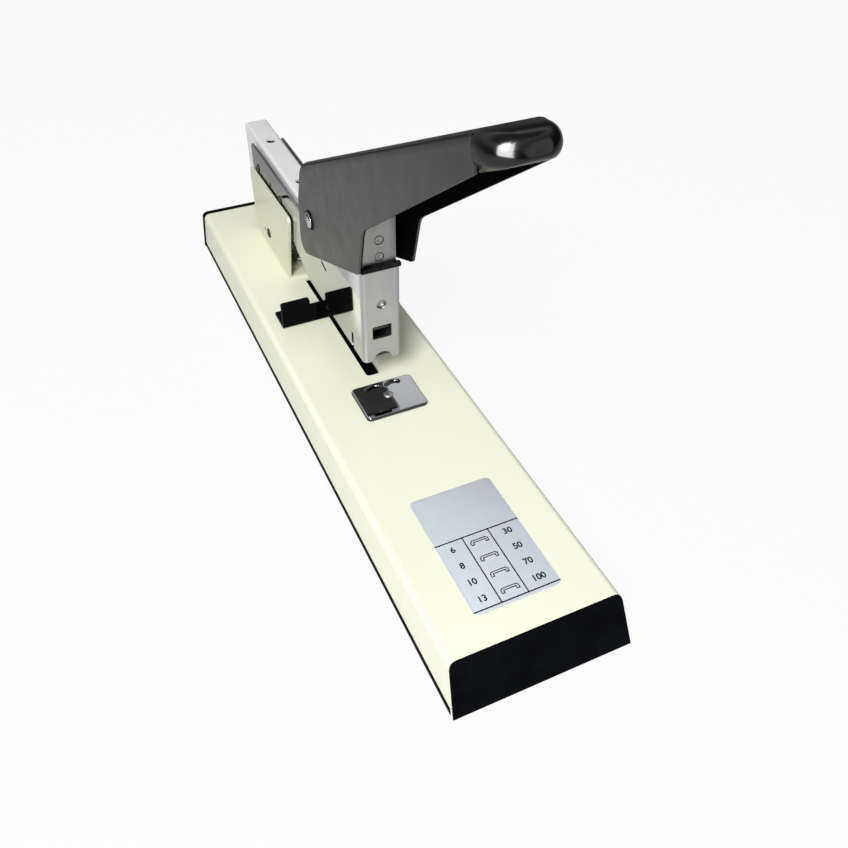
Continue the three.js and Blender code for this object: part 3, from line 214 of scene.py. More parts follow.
# Materials
class Surface:
    """A node material with one Principled shader, built up by small steps."""

    def __init__(self, name, roughness, **sockets):
        self.material = bpy.data.materials.new(name)
        self.material.use_nodes = True
        self.tree = self.material.node_tree
        self.shader = self.tree.nodes["Principled BSDF"]
        self.shader.inputs["Roughness"].default_value = roughness
        for key, value in sockets.items():
            self.shader.inputs[key.replace("_", " ")].default_value = value
        self.coordinates = self.tree.nodes.new("ShaderNodeTexCoord").outputs["Object"]

    def node(self, kind, **values):
        node = self.tree.nodes.new(kind)
        for key, value in values.items():
            setattr(node, key, value)
        return node

    def link(self, source, target):
        self.tree.links.new(source, target)

    def noise(self, scale, detail, roughness=0.55, place=None):
        texture = self.node("ShaderNodeTexNoise")
        for key, value in (("Scale", scale), ("Detail", detail), ("Roughness", roughness)):
            texture.inputs[key].default_value = value
        self.link(self.coordinates if place is None else place, texture.inputs["Vector"])
        return texture.outputs["Fac"]

    def grain(self, stretch):
        """Fine noise, drawn out along the axes where the stretch is small."""
        mapping = self.node("ShaderNodeMapping")
        mapping.inputs["Scale"].default_value = stretch
        self.link(self.coordinates, mapping.inputs["Vector"])
        return self.noise(700, 4.0, 0.6, mapping.outputs["Vector"])

    def tones(self, factor, dark, light, start=0.3, end=0.7):
        """The dark colour up to start, the light one from end on."""
        ramp = self.node("ShaderNodeValToRGB")
        for element, place, colour in zip(ramp.color_ramp.elements, (start, end), (dark, light)):
            element.position = place
            element.color = (*colour, 1)
        self.link(factor, ramp.inputs["Fac"])
        return ramp.outputs["Color"]

    def spread(self, factor, low, high, start=0.3, end=0.7):
        """A value between start and end, stretched over the range from low to high."""
        spread = self.node("ShaderNodeMapRange")
        for key, value in (("From Min", start), ("From Max", end), ("To Min", low), ("To Max", high)):
            spread.inputs[key].default_value = value
        self.link(factor, spread.inputs["Value"])
        return spread.outputs["Result"]

    def between(self, share, low, high):
        """Low where the share is 0 and high where it is 1."""
        return self.spread(share, low, high, 0, 1)

    def coordinate(self, axis):
        """One of the object's coordinates."""
        split = self.node("ShaderNodeSeparateXYZ")
        self.link(self.coordinates, split.inputs[0])
        return split.outputs[axis]

    def along(self, axis, start, end):
        """0 before start and 1 after end, along one axis of the object."""
        return self.spread(self.coordinate(axis), 0, 1, start, end)

    def towards(self, direction, start, end):
        """0 before start and 1 after end, along a direction through the object's origin."""
        dot = self.node("ShaderNodeVectorMath", operation="DOT_PRODUCT")
        dot.inputs[1].default_value = direction
        self.link(self.coordinates, dot.inputs[0])
        return self.spread(dot.outputs["Value"], 0, 1, start, end)

    def edge(self, width):
        """1 on edges and 0 on faces, from how far the rounded normal leans from the true one."""
        bevel = self.node("ShaderNodeBevel", samples=4)
        bevel.inputs["Radius"].default_value = width
        geometry = self.node("ShaderNodeNewGeometry")
        dot = self.node("ShaderNodeVectorMath", operation="DOT_PRODUCT")
        self.link(bevel.outputs["Normal"], dot.inputs[0])
        self.link(geometry.outputs["Normal"], dot.inputs[1])
        return self.spread(dot.outputs["Value"], 0, 1, *EDGE_LEAN)

    def rubbed(self, most):
        """How far the paint is rubbed off: in patches along the edges, up to the given share."""
        patches = self.spread(self.noise(420, 4.0), 0, most)
        return self.calculated("MULTIPLY", self.edge(EDGE_REACH), patches)

    def calculated(self, operation, a, b):
        math = self.node("ShaderNodeMath", operation=operation)
        for value, socket in ((a, math.inputs[0]), (b, math.inputs[1])):
            if isinstance(value, float):
                socket.default_value = value
            else:
                self.link(value, socket)
        return math.outputs[0]

    def blend(self, factor, a, b):
        """Colour a where the factor is 0 and colour b where it is 1. Each is an output or a plain colour."""
        mix = self.node("ShaderNodeMix", data_type="RGBA")
        self.link(factor, mix.inputs["Factor"])
        for colour, socket in ((a, mix.inputs[6]), (b, mix.inputs[7])):
            if isinstance(colour, tuple):
                socket.default_value = (*colour, 1)
            else:
                self.link(colour, socket)
        return mix.outputs[2]

    def colour(self, output):
        self.link(output, self.shader.inputs["Base Color"])

    def rough(self, output):
        self.link(output, self.shader.inputs["Roughness"])

    def bump(self, height, strength, distance):
        bump = self.node("ShaderNodeBump")
        bump.inputs["Strength"].default_value = strength
        bump.inputs["Distance"].default_value = distance
        self.link(height, bump.inputs["Height"])
        self.link(bump.outputs["Normal"], self.shader.inputs["Normal"])


def enamel(name, light, dark, roughness, coat, worn, most_worn, specular=0.5):
    """Stove enamel on steel: a slight orange peel, faint clouds, and edges where the metal starts to show."""
    surface = Surface(name, roughness, Coat_Weight=coat, Coat_Roughness=0.1, Specular_IOR_Level=specular)
    base = surface.tones(surface.noise(12, 1.0), dark, light)
    surface.colour(surface.blend(surface.rubbed(most_worn), base, worn))
    surface.rough(surface.spread(surface.noise(140, 3.0), roughness * 0.96, roughness * 1.05))
    surface.bump(surface.noise(700, 2.0), 0.03, 0.03 * MM)
    return surface.material


def lever_finish():
    """Satin enamel, shinier on the cheeks than on the roof. Inside, it is dull and painted near black, as
    shade.
    """
    surface = Surface("lever_enamel", 0.4)
    from_middle = surface.calculated("ABSOLUTE", surface.coordinate("X"), 0.0)
    cheek = surface.spread(from_middle, 0, 1, LEVER_HALF - INSIDE_SHADE_DEPTH, LEVER_HALF - PAINT_DEPTH)
    roof = surface.towards(LEVER_UP, LEVER_ROOF - INSIDE_SHADE_DEPTH, LEVER_ROOF - PAINT_DEPTH)
    outside = surface.calculated("MAXIMUM", cheek, roof)
    paint = surface.tones(surface.noise(24, 2.0), (0.027, 0.027, 0.028), (0.031, 0.031, 0.032))
    paint = surface.blend(surface.rubbed(0.4), paint, (0.08, 0.08, 0.085))
    # Painted shade: the inside is near black
    surface.colour(surface.blend(outside, (0.0015, 0.0015, 0.0015), paint))
    inside_rough = surface.between(outside, 0.4, 0)
    paint_rough = surface.spread(surface.noise(140, 3.0), 0.35, 0.46)
    surface.rough(surface.calculated("ADD", inside_rough, paint_rough))
    shine = surface.calculated("ADD", surface.between(cheek, 0.04, 0.85), surface.between(roof, 0, 0.3))
    fade = surface.between(surface.towards(LEVER_ALONG, *LEVER_FADE), 1, 0.5)
    shine = surface.calculated("MULTIPLY", surface.calculated("MINIMUM", shine, 0.85), fade)
    surface.link(shine, surface.shader.inputs["Specular IOR Level"])
    surface.bump(surface.noise(700, 2.0), 0.05, 0.03 * MM)
    return surface.material


def moulded(name, light, dark, roughness, grain, specular):
    """Black moulded plastic with a fine spark grain and a few soft scuffs."""
    surface = Surface(name, roughness, Specular_IOR_Level=specular)
    surface.colour(surface.tones(surface.noise(90, 4.0), dark, light, 0.35))
    surface.rough(surface.spread(surface.noise(60, 4.0), roughness * 0.8, roughness * 1.3))
    surface.bump(surface.noise(2600, 2.0), grain, 0.04 * MM)
    return surface.material


def grip_finish():
    """A moulded end, dull where it meets the lever and glossy at its tip. The dull root is painted a little
    lighter, as sheen.
    """
    surface = Surface("grip_black", 0.14, Specular_IOR_Level=0.45)
    tip = surface.towards(LEVER_ALONG, *GRIP_FADE)
    cloud = surface.noise(90, 4.0)
    # Painted sheen: the dull root's colour is lighter than the glossy tip's
    dull = surface.tones(cloud, (0.008, 0.008, 0.009), (0.011, 0.011, 0.012), 0.35)
    glossy = surface.tones(cloud, (0.0008, 0.0009, 0.0012), (0.0012, 0.0014, 0.002), 0.35)
    surface.colour(surface.blend(tip, dull, glossy))
    tip_rough = surface.spread(surface.noise(60, 4.0), 0.11, 0.18)
    surface.rough(surface.calculated("ADD", surface.between(tip, 0.26, 0), tip_rough))
    surface.bump(surface.noise(2600, 2.0), 0.01, 0.04 * MM)
    return surface.material


def metal(name, light, dark, roughness, stretch, scratch, metallic=1.0):
    """Bare or plated steel. The stretch draws the grain out along the sheet."""
    surface = Surface(name, roughness, Metallic=metallic)
    surface.colour(surface.tones(surface.noise(55, 4.0), dark, light))
    grain = surface.grain(stretch)
    surface.rough(surface.spread(grain, roughness * 0.8, roughness * 1.25))
    surface.bump(grain, scratch, 0.02 * MM)
    return surface.material


def head_steel():
    """Plated sheet: brushed on the front plate, smooth as a mirror on the sides. The sides carry a painted
    highlight at their upper front and painted shade, darker to the rear.
    """
    surface = Surface("polished_steel", 0.15, Metallic=1.0)
    side = surface.along("Y", *HEAD_FOLD)
    cloud = surface.noise(60, 3.0)
    front_colour = surface.tones(cloud, (0.50, 0.505, 0.52), (0.56, 0.565, 0.58))
    side_colour = surface.tones(cloud, (0.47, 0.475, 0.50), (0.51, 0.515, 0.54))
    # Painted highlight: the sides' upper front is near white
    bright = surface.calculated("MULTIPLY", surface.along("Z", *HEAD_HIGHLIGHT_HEIGHT), surface.along("Y", *HEAD_HIGHLIGHT_REACH))
    side_colour = surface.blend(bright, side_colour, (0.97, 0.97, 0.97))
    # Painted shade: the sides turn dark towards the rear
    side_colour = surface.blend(surface.along("Y", *HEAD_SHADE_REAR), side_colour, (0.24, 0.24, 0.245))
    surface.colour(surface.blend(side, front_colour, side_colour))
    grain = surface.grain((1, 1, 0.05))
    brushed = surface.calculated("MULTIPLY", surface.between(side, 1, 0), surface.spread(grain, 0.28, 0.4))
    surface.rough(surface.calculated("ADD", brushed, surface.spread(grain, 0.03, 0.05)))
    surface.bump(grain, 0.02, 0.02 * MM)
    return surface.material


def anvil_finish():
    """Bright plating, painted dark as shade on the lip of the grooves and down the plate's edge."""
    surface = Surface("anvil_plating", 0.05, Metallic=1.0)
    plating = surface.tones(surface.noise(55, 4.0), (0.64, 0.66, 0.69), (0.70, 0.72, 0.75))
    # Painted shade: dark in the grooves and down the plate's edge
    surface.colour(surface.blend(surface.along("Z", *ANVIL_SHADE_DEPTH), plating, (0.10, 0.105, 0.11)))
    surface.rough(surface.spread(surface.grain((1, 0.2, 1)), 0.04, 0.06))
    return surface.material


def rubber():
    surface = Surface("black_rubber", 0.75, Specular_IOR_Level=0.06)
    cloud = surface.noise(300, 5.0)
    surface.colour(surface.tones(cloud, (0.006, 0.006, 0.007), (0.02, 0.02, 0.021), 0.3, 0.75))
    surface.rough(surface.spread(surface.noise(200, 3.0), 0.65, 0.88))
    surface.bump(surface.noise(1800, 3.0), 0.35, 0.06 * MM)
    return surface.material


def label_paper():
    surface = Surface("label_paper", 0.45, Coat_Weight=0.15, Coat_Roughness=0.3)
    surface.colour(surface.tones(surface.noise(260, 5.0), (0.53, 0.58, 0.64), (0.56, 0.61, 0.67)))
    surface.rough(surface.spread(surface.noise(500, 3.0), 0.4, 0.52))
    surface.bump(surface.noise(1500, 4.0), 0.1, 0.03 * MM)
    return surface.material


def ink():
    surface = Surface("label_ink", 0.5, Specular_IOR_Level=0.3)
    cloud = surface.noise(900, 4.0)
    surface.colour(surface.tones(cloud, (0.008, 0.008, 0.010), (0.02, 0.02, 0.024), 0.3, 0.75))
    surface.rough(surface.spread(surface.noise(800, 3.0), 0.42, 0.6))
    return surface.material


def floor_finish():
    """Pale paper sweep: the lens sees it nearly as white as the world behind it."""
    surface = Surface("floor_finish", 0.9, Specular_IOR_Level=0.0)
    surface.colour(surface.tones(surface.noise(3, 2.0), (0.62, 0.62, 0.62), (0.64, 0.64, 0.64)))
    white = surface.node("ShaderNodeEmission")
    path = surface.node("ShaderNodeLightPath")
    mix = surface.node("ShaderNodeMixShader")
    surface.link(surface.calculated("MULTIPLY", path.outputs["Is Camera Ray"], FLOOR_WHITE), mix.inputs["Fac"])
    surface.link(surface.shader.outputs[0], mix.inputs[1])
    surface.link(white.outputs[0], mix.inputs[2])
    surface.link(mix.outputs[0], surface.tree.nodes["Material Output"].inputs["Surface"])
    return surface.material


CREAM = enamel("cream_enamel", light=(0.87, 0.88, 0.715), dark=(0.86, 0.87, 0.705), roughness=0.3, coat=0.12,
               worn=(0.62, 0.60, 0.50), most_worn=0.06)
# The bracket's cream is the base's cream darkened, as painted shade on the ears
SHADED_BRACKET_CREAM = enamel("bracket_enamel_shaded", light=(0.71, 0.72, 0.56), dark=(0.69, 0.70, 0.54), roughness=0.34,
                       coat=0.08, worn=(0.50, 0.48, 0.40), most_worn=0.06)
LEVER_BLACK = lever_finish()
STOP_BLACK = enamel("stop_enamel", light=(0.003, 0.003, 0.004), dark=(0.002, 0.002, 0.003), roughness=0.42,
                    coat=0.0, worn=(0.04, 0.04, 0.045), most_worn=0.4, specular=0.03)
CAP_BLACK = moulded("cap_black", light=(0.0025, 0.0034, 0.005), dark=(0.001, 0.0012, 0.0022), roughness=0.34,
                    grain=0.03, specular=0.03)
GRIP_BLACK = grip_finish()
SATIN_BLACK = moulded("satin_black", light=(0.008, 0.008, 0.009), dark=(0.004, 0.004, 0.005), roughness=0.45,
                      grain=0.2, specular=0.2)
RUBBER = rubber()
POLISHED = head_steel()
SATIN = metal("satin_steel", light=(0.62, 0.62, 0.62), dark=(0.52, 0.52, 0.53), roughness=0.34,
              stretch=(1, 0.04, 1), scratch=0.08)
CHANNEL = metal("channel_steel", light=(0.95, 0.95, 0.95), dark=(0.90, 0.90, 0.90), roughness=0.36,
                stretch=(1, 0.04, 1), scratch=0.06, metallic=0.25)
BLADE = metal("blade_steel", light=(0.42, 0.42, 0.415), dark=(0.32, 0.32, 0.32), roughness=0.36,
              stretch=(1, 1, 0.04), scratch=0.15)
# Steel of the parts inside the head, darkened as painted shade
SHADED_INNER = metal("magazine_steel_shaded", light=(0.08, 0.08, 0.08), dark=(0.05, 0.05, 0.055), roughness=0.38,
              stretch=(1, 0.04, 1), scratch=0.1, metallic=0.3)
CHROME = metal("bright_plating", light=(0.72, 0.74, 0.77), dark=(0.68, 0.70, 0.73), roughness=0.04,
               stretch=(1, 0.2, 1), scratch=0.002)
DARK = metal("dark_steel", light=(0.10, 0.10, 0.105), dark=(0.05, 0.05, 0.055), roughness=0.4,
             stretch=(1, 1, 1), scratch=0.1)
ANVIL = anvil_finish()
PAPER = label_paper()
INK = ink()
FLOOR = floor_finish()

# Mesh helpers
SHARP_EDGE = radians(32)         # edges sharper than this stay sharp in smooth shading
CAST_EDGE = radians(50)          # the same for pieces whose own edges are round
WIRE_EDGE = radians(60)
BEVELLED_EDGE = radians(40)      # edges sharper than this are rounded
WELD = 0.002 * MM                # points as near as this become one
FLAT = radians(1)                # faces that meet at less than this become one


def add_object(name, mesh, material):
    piece = bpy.data.objects.new(name, mesh)
    bpy.context.scene.collection.objects.link(piece)
    mesh.materials.clear()
    mesh.materials.append(material)
    return piece


def shade(mesh, sharp=SHARP_EDGE):
    """Smooth shading that stops at edges sharper than the given angle."""
    mesh.shade_smooth()
    mesh.set_sharp_from_angle(angle=sharp)


def apply_modifiers(piece):
    evaluated = piece.evaluated_get(bpy.context.evaluated_depsgraph_get())
    mesh = bpy.data.meshes.new_from_object(evaluated)
    piece.modifiers.clear()
    old = piece.data
    piece.data = mesh
    bpy.data.meshes.remove(old)


def body_of(node):
    bodies = frame["record"]["behaviour"]["bodies"]
    return next(name for name, nodes in bodies.items() if node in nodes)


def slot_of(node):
    return next(part["material_slot"] for part in frame["record"]["subparts"] if part["node"] == node)


def add_to(piece, node):
    """Lets a piece ride on a node's body."""
    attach(piece, body_of(node))


def stand_for(piece, node):
    """Lets a piece ride on a node's body and replace it."""
    add_to(piece, node)
    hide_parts(node)


def extent(node):
    """Lowest corner, highest corner and middle of a CAD node."""
    low, high = (Vector(corner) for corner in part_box(node))
    return low, high, (low + high) / 2


def mesh_piece(name, points, faces, material, sharp=SHARP_EDGE):
    mesh = bpy.data.meshes.new(name)
    mesh.from_pydata([tuple(p) for p in points], [], faces)
    mesh.update()
    shade(mesh, sharp)
    return add_object(name, mesh, material)


def skin(rings, count):
    """Faces over rings of so many points each, with a face over the first ring and one over the last."""
    last = (rings - 1) * count
    faces = [(first + k, first + (k + 1) % count, first + count + (k + 1) % count, first + count + k)
             for first in range(0, last, count) for k in range(count)]
    return faces + [tuple(reversed(range(count))), tuple(last + k for k in range(count))]


def softened(node, material, width):
    """A finer copy of a CAD node: its flat faces are merged and shaded flat, and its edges rounded."""
    mesh = frame["nodes"][node].data.copy()
    shape = bmesh.new()
    shape.from_mesh(mesh)
    bmesh.ops.remove_doubles(shape, verts=shape.verts, dist=WELD)
    bmesh.ops.dissolve_limit(shape, angle_limit=FLAT, verts=shape.verts, edges=shape.edges)
    shape.to_mesh(mesh)
    shape.free()
    piece = add_object(f"{node}_shell", mesh, material)
    bevel = piece.modifiers.new("edges", "BEVEL")
    bevel.width = width
    bevel.segments = 2
    bevel.limit_method = "ANGLE"
    bevel.angle_limit = BEVELLED_EDGE
    apply_modifiers(piece)
    shade(piece.data)
    normals = piece.modifiers.new("normals", "WEIGHTED_NORMAL")
    normals.keep_sharp = True
    apply_modifiers(piece)
    stand_for(piece, node)


def turned(name, profile, place, axis, material, segments=40):
    """A turned piece from a profile of (radius, height), whose height runs along the given axis."""
    turn = Vector(axis).to_track_quat("Z", "Y").to_matrix()
    points = [turn @ Vector((r * cos(tau * k / segments), r * sin(tau * k / segments), h)) + Vector(place)
              for r, h in profile for k in range(segments)]
    return mesh_piece(name, points, skin(len(profile), segments), material)


def dome(radius, base, rise, steps):
    """Profile of a dome that starts at the given height and stops short of its middle."""
    angles = [pi / 2 * k / steps for k in range(steps)]
    return [(radius * cos(angle), base + rise * sin(angle)) for angle in angles]


def tube(path, radius, sides=10):
    """Points and faces of a round tube along a path, with closed ends."""
    points = []
    for i, here in enumerate(path):
        along = (path[min(i + 1, len(path) - 1)] - path[max(i - 1, 0)]).normalized()
        side = along.cross(Vector((0, 0, 1)))
        side = side.normalized() if side.length > 1e-6 else Vector((1, 0, 0))
        up = side.cross(along)
        angles = [tau * k / sides for k in range(sides)]
        points += [here + radius * (cos(angle) * side + sin(angle) * up) for angle in angles]
    return points, skin(len(path), sides)


def carve(piece, place, angle, axis, size):
    """Cuts a block out of a closed piece, turned by the angle about the axis."""
    bpy.ops.mesh.primitive_cube_add(size=1)
    cutter = bpy.context.object
    stand = Matrix.Translation(place) @ Matrix.Rotation(angle, 4, axis)
    cutter.matrix_world = stand @ Matrix.Diagonal((*size, 1))
    boolean = piece.modifiers.new("cut", "BOOLEAN")
    boolean.operation = "DIFFERENCE"
    boolean.solver = "EXACT"
    boolean.object = cutter
    apply_modifiers(piece)
    bpy.data.objects.remove(cutter)
    shade(piece.data)


def round_rectangle(half, low, high, radius, steps=8):
    """A rounded rectangle as pairs: the first runs from -half to half, the second from low to high."""
    radius = min(radius, half, (high - low) / 2)
    result = []
    for number, (side, upper) in enumerate(((1, 0), (1, 1), (-1, 1), (-1, 0))):
        middle = high - radius if upper else low + radius
        for k in range(steps + 1):
            angle = pi / 2 * (number - 1 + k / steps)
            result.append((side * (half - radius) + radius * cos(angle), middle + radius * sin(angle)))
    return result


# Pieces that keep the CAD's shape, with the width of their rounded edges in mm
SOFTENED = [
    ("base_cover", CREAM, 0.25), ("front_end_cap", CAP_BLACK, 0.5), ("rear_end_cap", CAP_BLACK, 0.4),
    ("bottom_tray", SATIN_BLACK, 0.2), ("anvil_backing", DARK, 0.2), ("rear_bracket", SHADED_BRACKET_CREAM, 0.25),
    ("depth_stop", STOP_BLACK, 0.25), ("stop_shoe", SATIN_BLACK, 0.2), ("head_frame", POLISHED, 0.15),
    ("staple_rail", SHADED_INNER, 0.15), ("top_channel", CHANNEL, 0.2), ("spring_seat", SHADED_INNER, 0.15),
    ("rod_nut", SATIN, 0.2), ("head_bumper", RUBBER, 0.3), ("pivot_nut", SATIN, 0.3),
    ("staple_pusher", SHADED_INNER, 0.12), ("lever", LEVER_BLACK, 0.3), ("link_bracket", DARK, 0.2),
    ("driver_yoke", SATIN, 0.15), ("driver_blade", BLADE, 0.1),
]

# Base: the painted channel reaches over the front cap's flange, and a black seal, partly painted shade, runs
# along its foot
COVER_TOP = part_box("base_cover")[1][2]
FRONT_RUN = 8.1                  # mm that the front cap's face leans back
FRONT_RISE = 17.9                # over this height in mm
FRONT_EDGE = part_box("front_end_cap")[0][1] + FRONT_RUN * MM     # top edge of that face
FRONT_LEAN = FRONT_RUN / FRONT_RISE
SEAM = 2.2 * MM                  # the seam between channel and cap lies this far behind the front face
SEAM_REACH = 0.3 * MM            # points as near as this belong to it
SEAM_SHIFT = -1.65 * MM
WALL_HALF = 30.25                # mm from the middle to the side wall's outside, at its top
WALL_FLARE = 1.9                 # mm more at its foot
WALL_RISE = 19.3                 # height of the wall in mm
SEAL_GAP = 0.02                  # mm between seal and wall
SEAL_BULGE = 0.2 * MM
SEAL_BACK = 0.1 * MM
SEAL_ENDS = (-143.7 * MM, 142.7 * MM)


def shift_seam():
    """Moves the seam between the painted channel and the front cap forward on both copies."""
    for name in ("base_cover_shell", "front_end_cap_shell"):
        for vertex in bpy.data.objects[name].data.vertices:
            plane = FRONT_EDGE + SEAM - (COVER_TOP - vertex.co.z) * FRONT_LEAN
            if abs(vertex.co.y - plane) < SEAM_REACH:
                vertex.co.y += SEAM_SHIFT


def foot_seals_and_shade():
    """A thin black bead along the foot of each side wall, cut at its front end as the cap leans. It is partly
    painted shade.
    """
    # The bead also stands in for the shadow along the wall's foot, as painted shade
    for side, name in ((-1, "foot_seal_left"), (1, "foot_seal_right")):
        def wall(z):
            return side * (WALL_HALF + WALL_FLARE * (WALL_RISE - z) / WALL_RISE + SEAL_GAP) * MM

        out, back = side * SEAL_BULGE, side * SEAL_BACK
        # across in metres and height in mm
        profile = [(wall(1.5), 1.5), (wall(1.5) + out, 1.8), (wall(3.4) + out, 3.4),
                   (wall(3.7), 3.7), (wall(3.5) - back, 3.5), (wall(1.7) - back, 1.7)]
        points = [(x, end + (FRONT_LEAN * z * MM if end < 0 else 0), z * MM)
                  for end in SEAL_ENDS for x, z in profile]
        piece = mesh_piece(name, points, skin(len(SEAL_ENDS), len(profile)), CAP_BLACK)
        shape = bmesh.new()
        shape.from_mesh(piece.data)
        bmesh.ops.recalc_face_normals(shape, faces=shape.faces)
        shape.to_mesh(piece.data)
        shape.free()
        add_to(piece, "bottom_tray")


# Anvil: a bright plate with two pressed kidney grooves
ANVIL_STEP = 0.25 * MM
ANVIL_CORNER = 1.8 * MM
ANVIL_EDGE = 0.45 * MM
GROOVE_LENGTH = 7.2 * MM
GROOVE_WIDTH = 2.6 * MM
GROOVE_DEPTH = 0.65 * MM
GROOVE_LAND = 0.9 * MM
GROOVE_BOW = 0.8 * MM
GROOVE_BACK = 2.3 * MM           # from the plate's rear edge to the middle line of the grooves
GROOVE_FLAT = 0.35               # share of the half width that is flat at the bottom


def smooth_step(value):
    value = min(max(value, 0.0), 1.0)
    return value * value * (3 - 2 * value)


def groove_drop(x, y, line_y):
    """How deep the two grooves are at a point: each is a bowed trough with round ends."""
    reach = GROOVE_LENGTH - GROOVE_WIDTH
    along = min(max(abs(x) - GROOVE_LAND / 2 - GROOVE_WIDTH / 2, 0.0), reach)
    middle_x = GROOVE_LAND / 2 + GROOVE_WIDTH / 2 + along
    middle_y = line_y + GROOVE_BOW * (sin(pi * along / reach) - 0.5)
    away = hypot(abs(x) - middle_x, y - middle_y) / (GROOVE_WIDTH / 2)
    return GROOVE_DEPTH * (1 - smooth_step((away - GROOVE_FLAT) / (1 - GROOVE_FLAT)))


def anvil_plate():
    """A fine grid pressed into shape, with walls down to the plate's underside."""
    low, high, centre = extent("anvil_plate")
    half_x, half_y = (high.x - low.x) / 2, (high.y - low.y) / 2
    columns, rows = round(2 * half_x / ANVIL_STEP), round(2 * half_y / ANVIL_STEP)

    def rounded_place(x, y):
        """The grid point moved into the plate's round corners, and how far it lies from the edge."""
        over_x = abs(x) - (half_x - ANVIL_CORNER)
        over_y = abs(y) - (half_y - ANVIL_CORNER)
        if over_x <= 0 or over_y <= 0:
            return x, y, min(half_x - abs(x), half_y - abs(y))
        reach = hypot(over_x, over_y)
        share = max(over_x, over_y) / reach
        x += (over_x * share - over_x) * (1 if x > 0 else -1)
        y += (over_y * share - over_y) * (1 if y > 0 else -1)
        return x, y, ANVIL_CORNER - reach * share

    points = []
    for i in range(columns + 1):
        for j in range(rows + 1):
            x, y, margin = rounded_place(-half_x + 2 * half_x * i / columns, -half_y + 2 * half_y * j / rows)
            x, y = centre.x + x, centre.y + y
            fall = min(max(ANVIL_EDGE - margin, 0.0) / ANVIL_EDGE, 1.0)
            z = high.z - ANVIL_EDGE * (1 - (1 - fall * fall) ** 0.5)
            points.append((x, y, z - groove_drop(x, y, high.y - GROOVE_BACK)))
    step = rows + 1
    faces = [(i * step + j, (i + 1) * step + j, (i + 1) * step + j + 1, i * step + j + 1)
             for i in range(columns) for j in range(rows)]
    border = [i * step for i in range(columns + 1)]
    border += [columns * step + j for j in range(1, step)]
    border += [i * step + rows for i in range(columns - 1, -1, -1)]
    border += list(range(rows - 1, 0, -1))
    first, count = len(points), len(border)
    points += [(points[index][0], points[index][1], low.z) for index in border]
    faces += [(border[k], first + k, first + (k + 1) % count, border[(k + 1) % count]) for k in range(count)]
    faces.append(tuple(first + k for k in reversed(range(count))))
    piece = mesh_piece("anvil_face", points, faces, ANVIL, CAST_EDGE)
    stand_for(piece, "anvil_plate")


def anvil_rivet():
    """A low dome with a dimple in its middle."""
    low, high, middle = extent("anvil_rivet")
    rise, shank = 0.7 * MM, 1.3 * MM
    profile = [(shank, low.z - high.z), (shank, -rise)] + dome((high.x - low.x) / 2, -rise, rise, 8)
    profile += [(0.9 * MM, -0.12 * MM), (0.7 * MM, -0.3 * MM), (0.3 * MM, -0.36 * MM)]
    piece = turned("anvil_rivet_head", profile, (middle.x, middle.y, high.z), (0, 0, 1), SATIN)
    stand_for(piece, "anvil_rivet")


# Grip: a moulded end that runs flush out of the lever, with a solid plug inside the channel.
# Lengths run along the lever and heights square to it, both from its pivot.
LEVER_PIVOT = Vector((0, 26.7 * MM, 73.5 * MM))
GRIP_HALF = 10.55 * MM
GRIP_TOP = 20.85 * MM
GRIP_LOW = 11.5 * MM
GRIP_CORNER = 3.8 * MM
GRIP_ROOT = -147.55 * MM
GRIP_REACH = 9.9 * MM
GRIP_FALL = 2.3 * MM             # the top comes down this much towards the tip
GRIP_RINGS = 29
GRIP_CLOSED = 28.3               # ring number at which the nose would close, so the last ring stays open
GRIP_PLAN = 2.5                  # power of the nose's curve seen from above: 2 is round, more is squarer
GRIP_SIDE = 5                    # the same, seen from the side
PLUG_END = (-131.5 * MM, 8.7 * MM, 19.0 * MM)                 # place along the lever, half width and top
PLUG_ROOT = (GRIP_ROOT + 0.02 * MM, 8.9 * MM, 19.2 * MM)
PLUG_CORNER = 1.2 * MM


def lever_grip():
    """Rounded rectangles strung along the lever: two for the plug, then those of the grip and its nose."""
    rings = [(place, round_rectangle(half, GRIP_LOW, top, PLUG_CORNER))
             for place, half, top in (PLUG_END, PLUG_ROOT)]
    for k in range(GRIP_RINGS):
        share = sin(pi / 2 * k / GRIP_CLOSED)
        plan = (1 - share ** GRIP_PLAN) ** (1 / GRIP_PLAN)
        side = (1 - share ** GRIP_SIDE) ** (1 / GRIP_SIDE)
        top = GRIP_TOP - GRIP_FALL * share
        middle = (top + GRIP_LOW) / 2
        thick = (top - GRIP_LOW) / 2 * side
        rings.append((GRIP_ROOT - GRIP_REACH * share,
                      round_rectangle(GRIP_HALF * plan, middle - thick, middle + thick, GRIP_CORNER)))
    turn = Matrix.Rotation(-LEVER_RAISE, 4, "X")
    points = [turn @ Vector((x, y, z)) + LEVER_PIVOT for y, ring in rings for x, z in ring]
    faces = skin(len(rings), len(rings[0][1]))
    piece = mesh_piece("lever_grip_moulded", points, faces, GRIP_BLACK, CAST_EDGE)
    stand_for(piece, "lever_grip")


# Springs: round wire with closed end coils
CURL_STEPS = 24
CLOSED_CURLS = 1.25
CLOSED_PITCH = 0.6               # rise of a closed curl, times the wire's radius
WIRE_SHARE = 0.94                # the drawn wire's radius, times the given one
LIFT_SPRING_Y = 84 * MM
DRIVER_SPRING_Y = -2.9 * MM


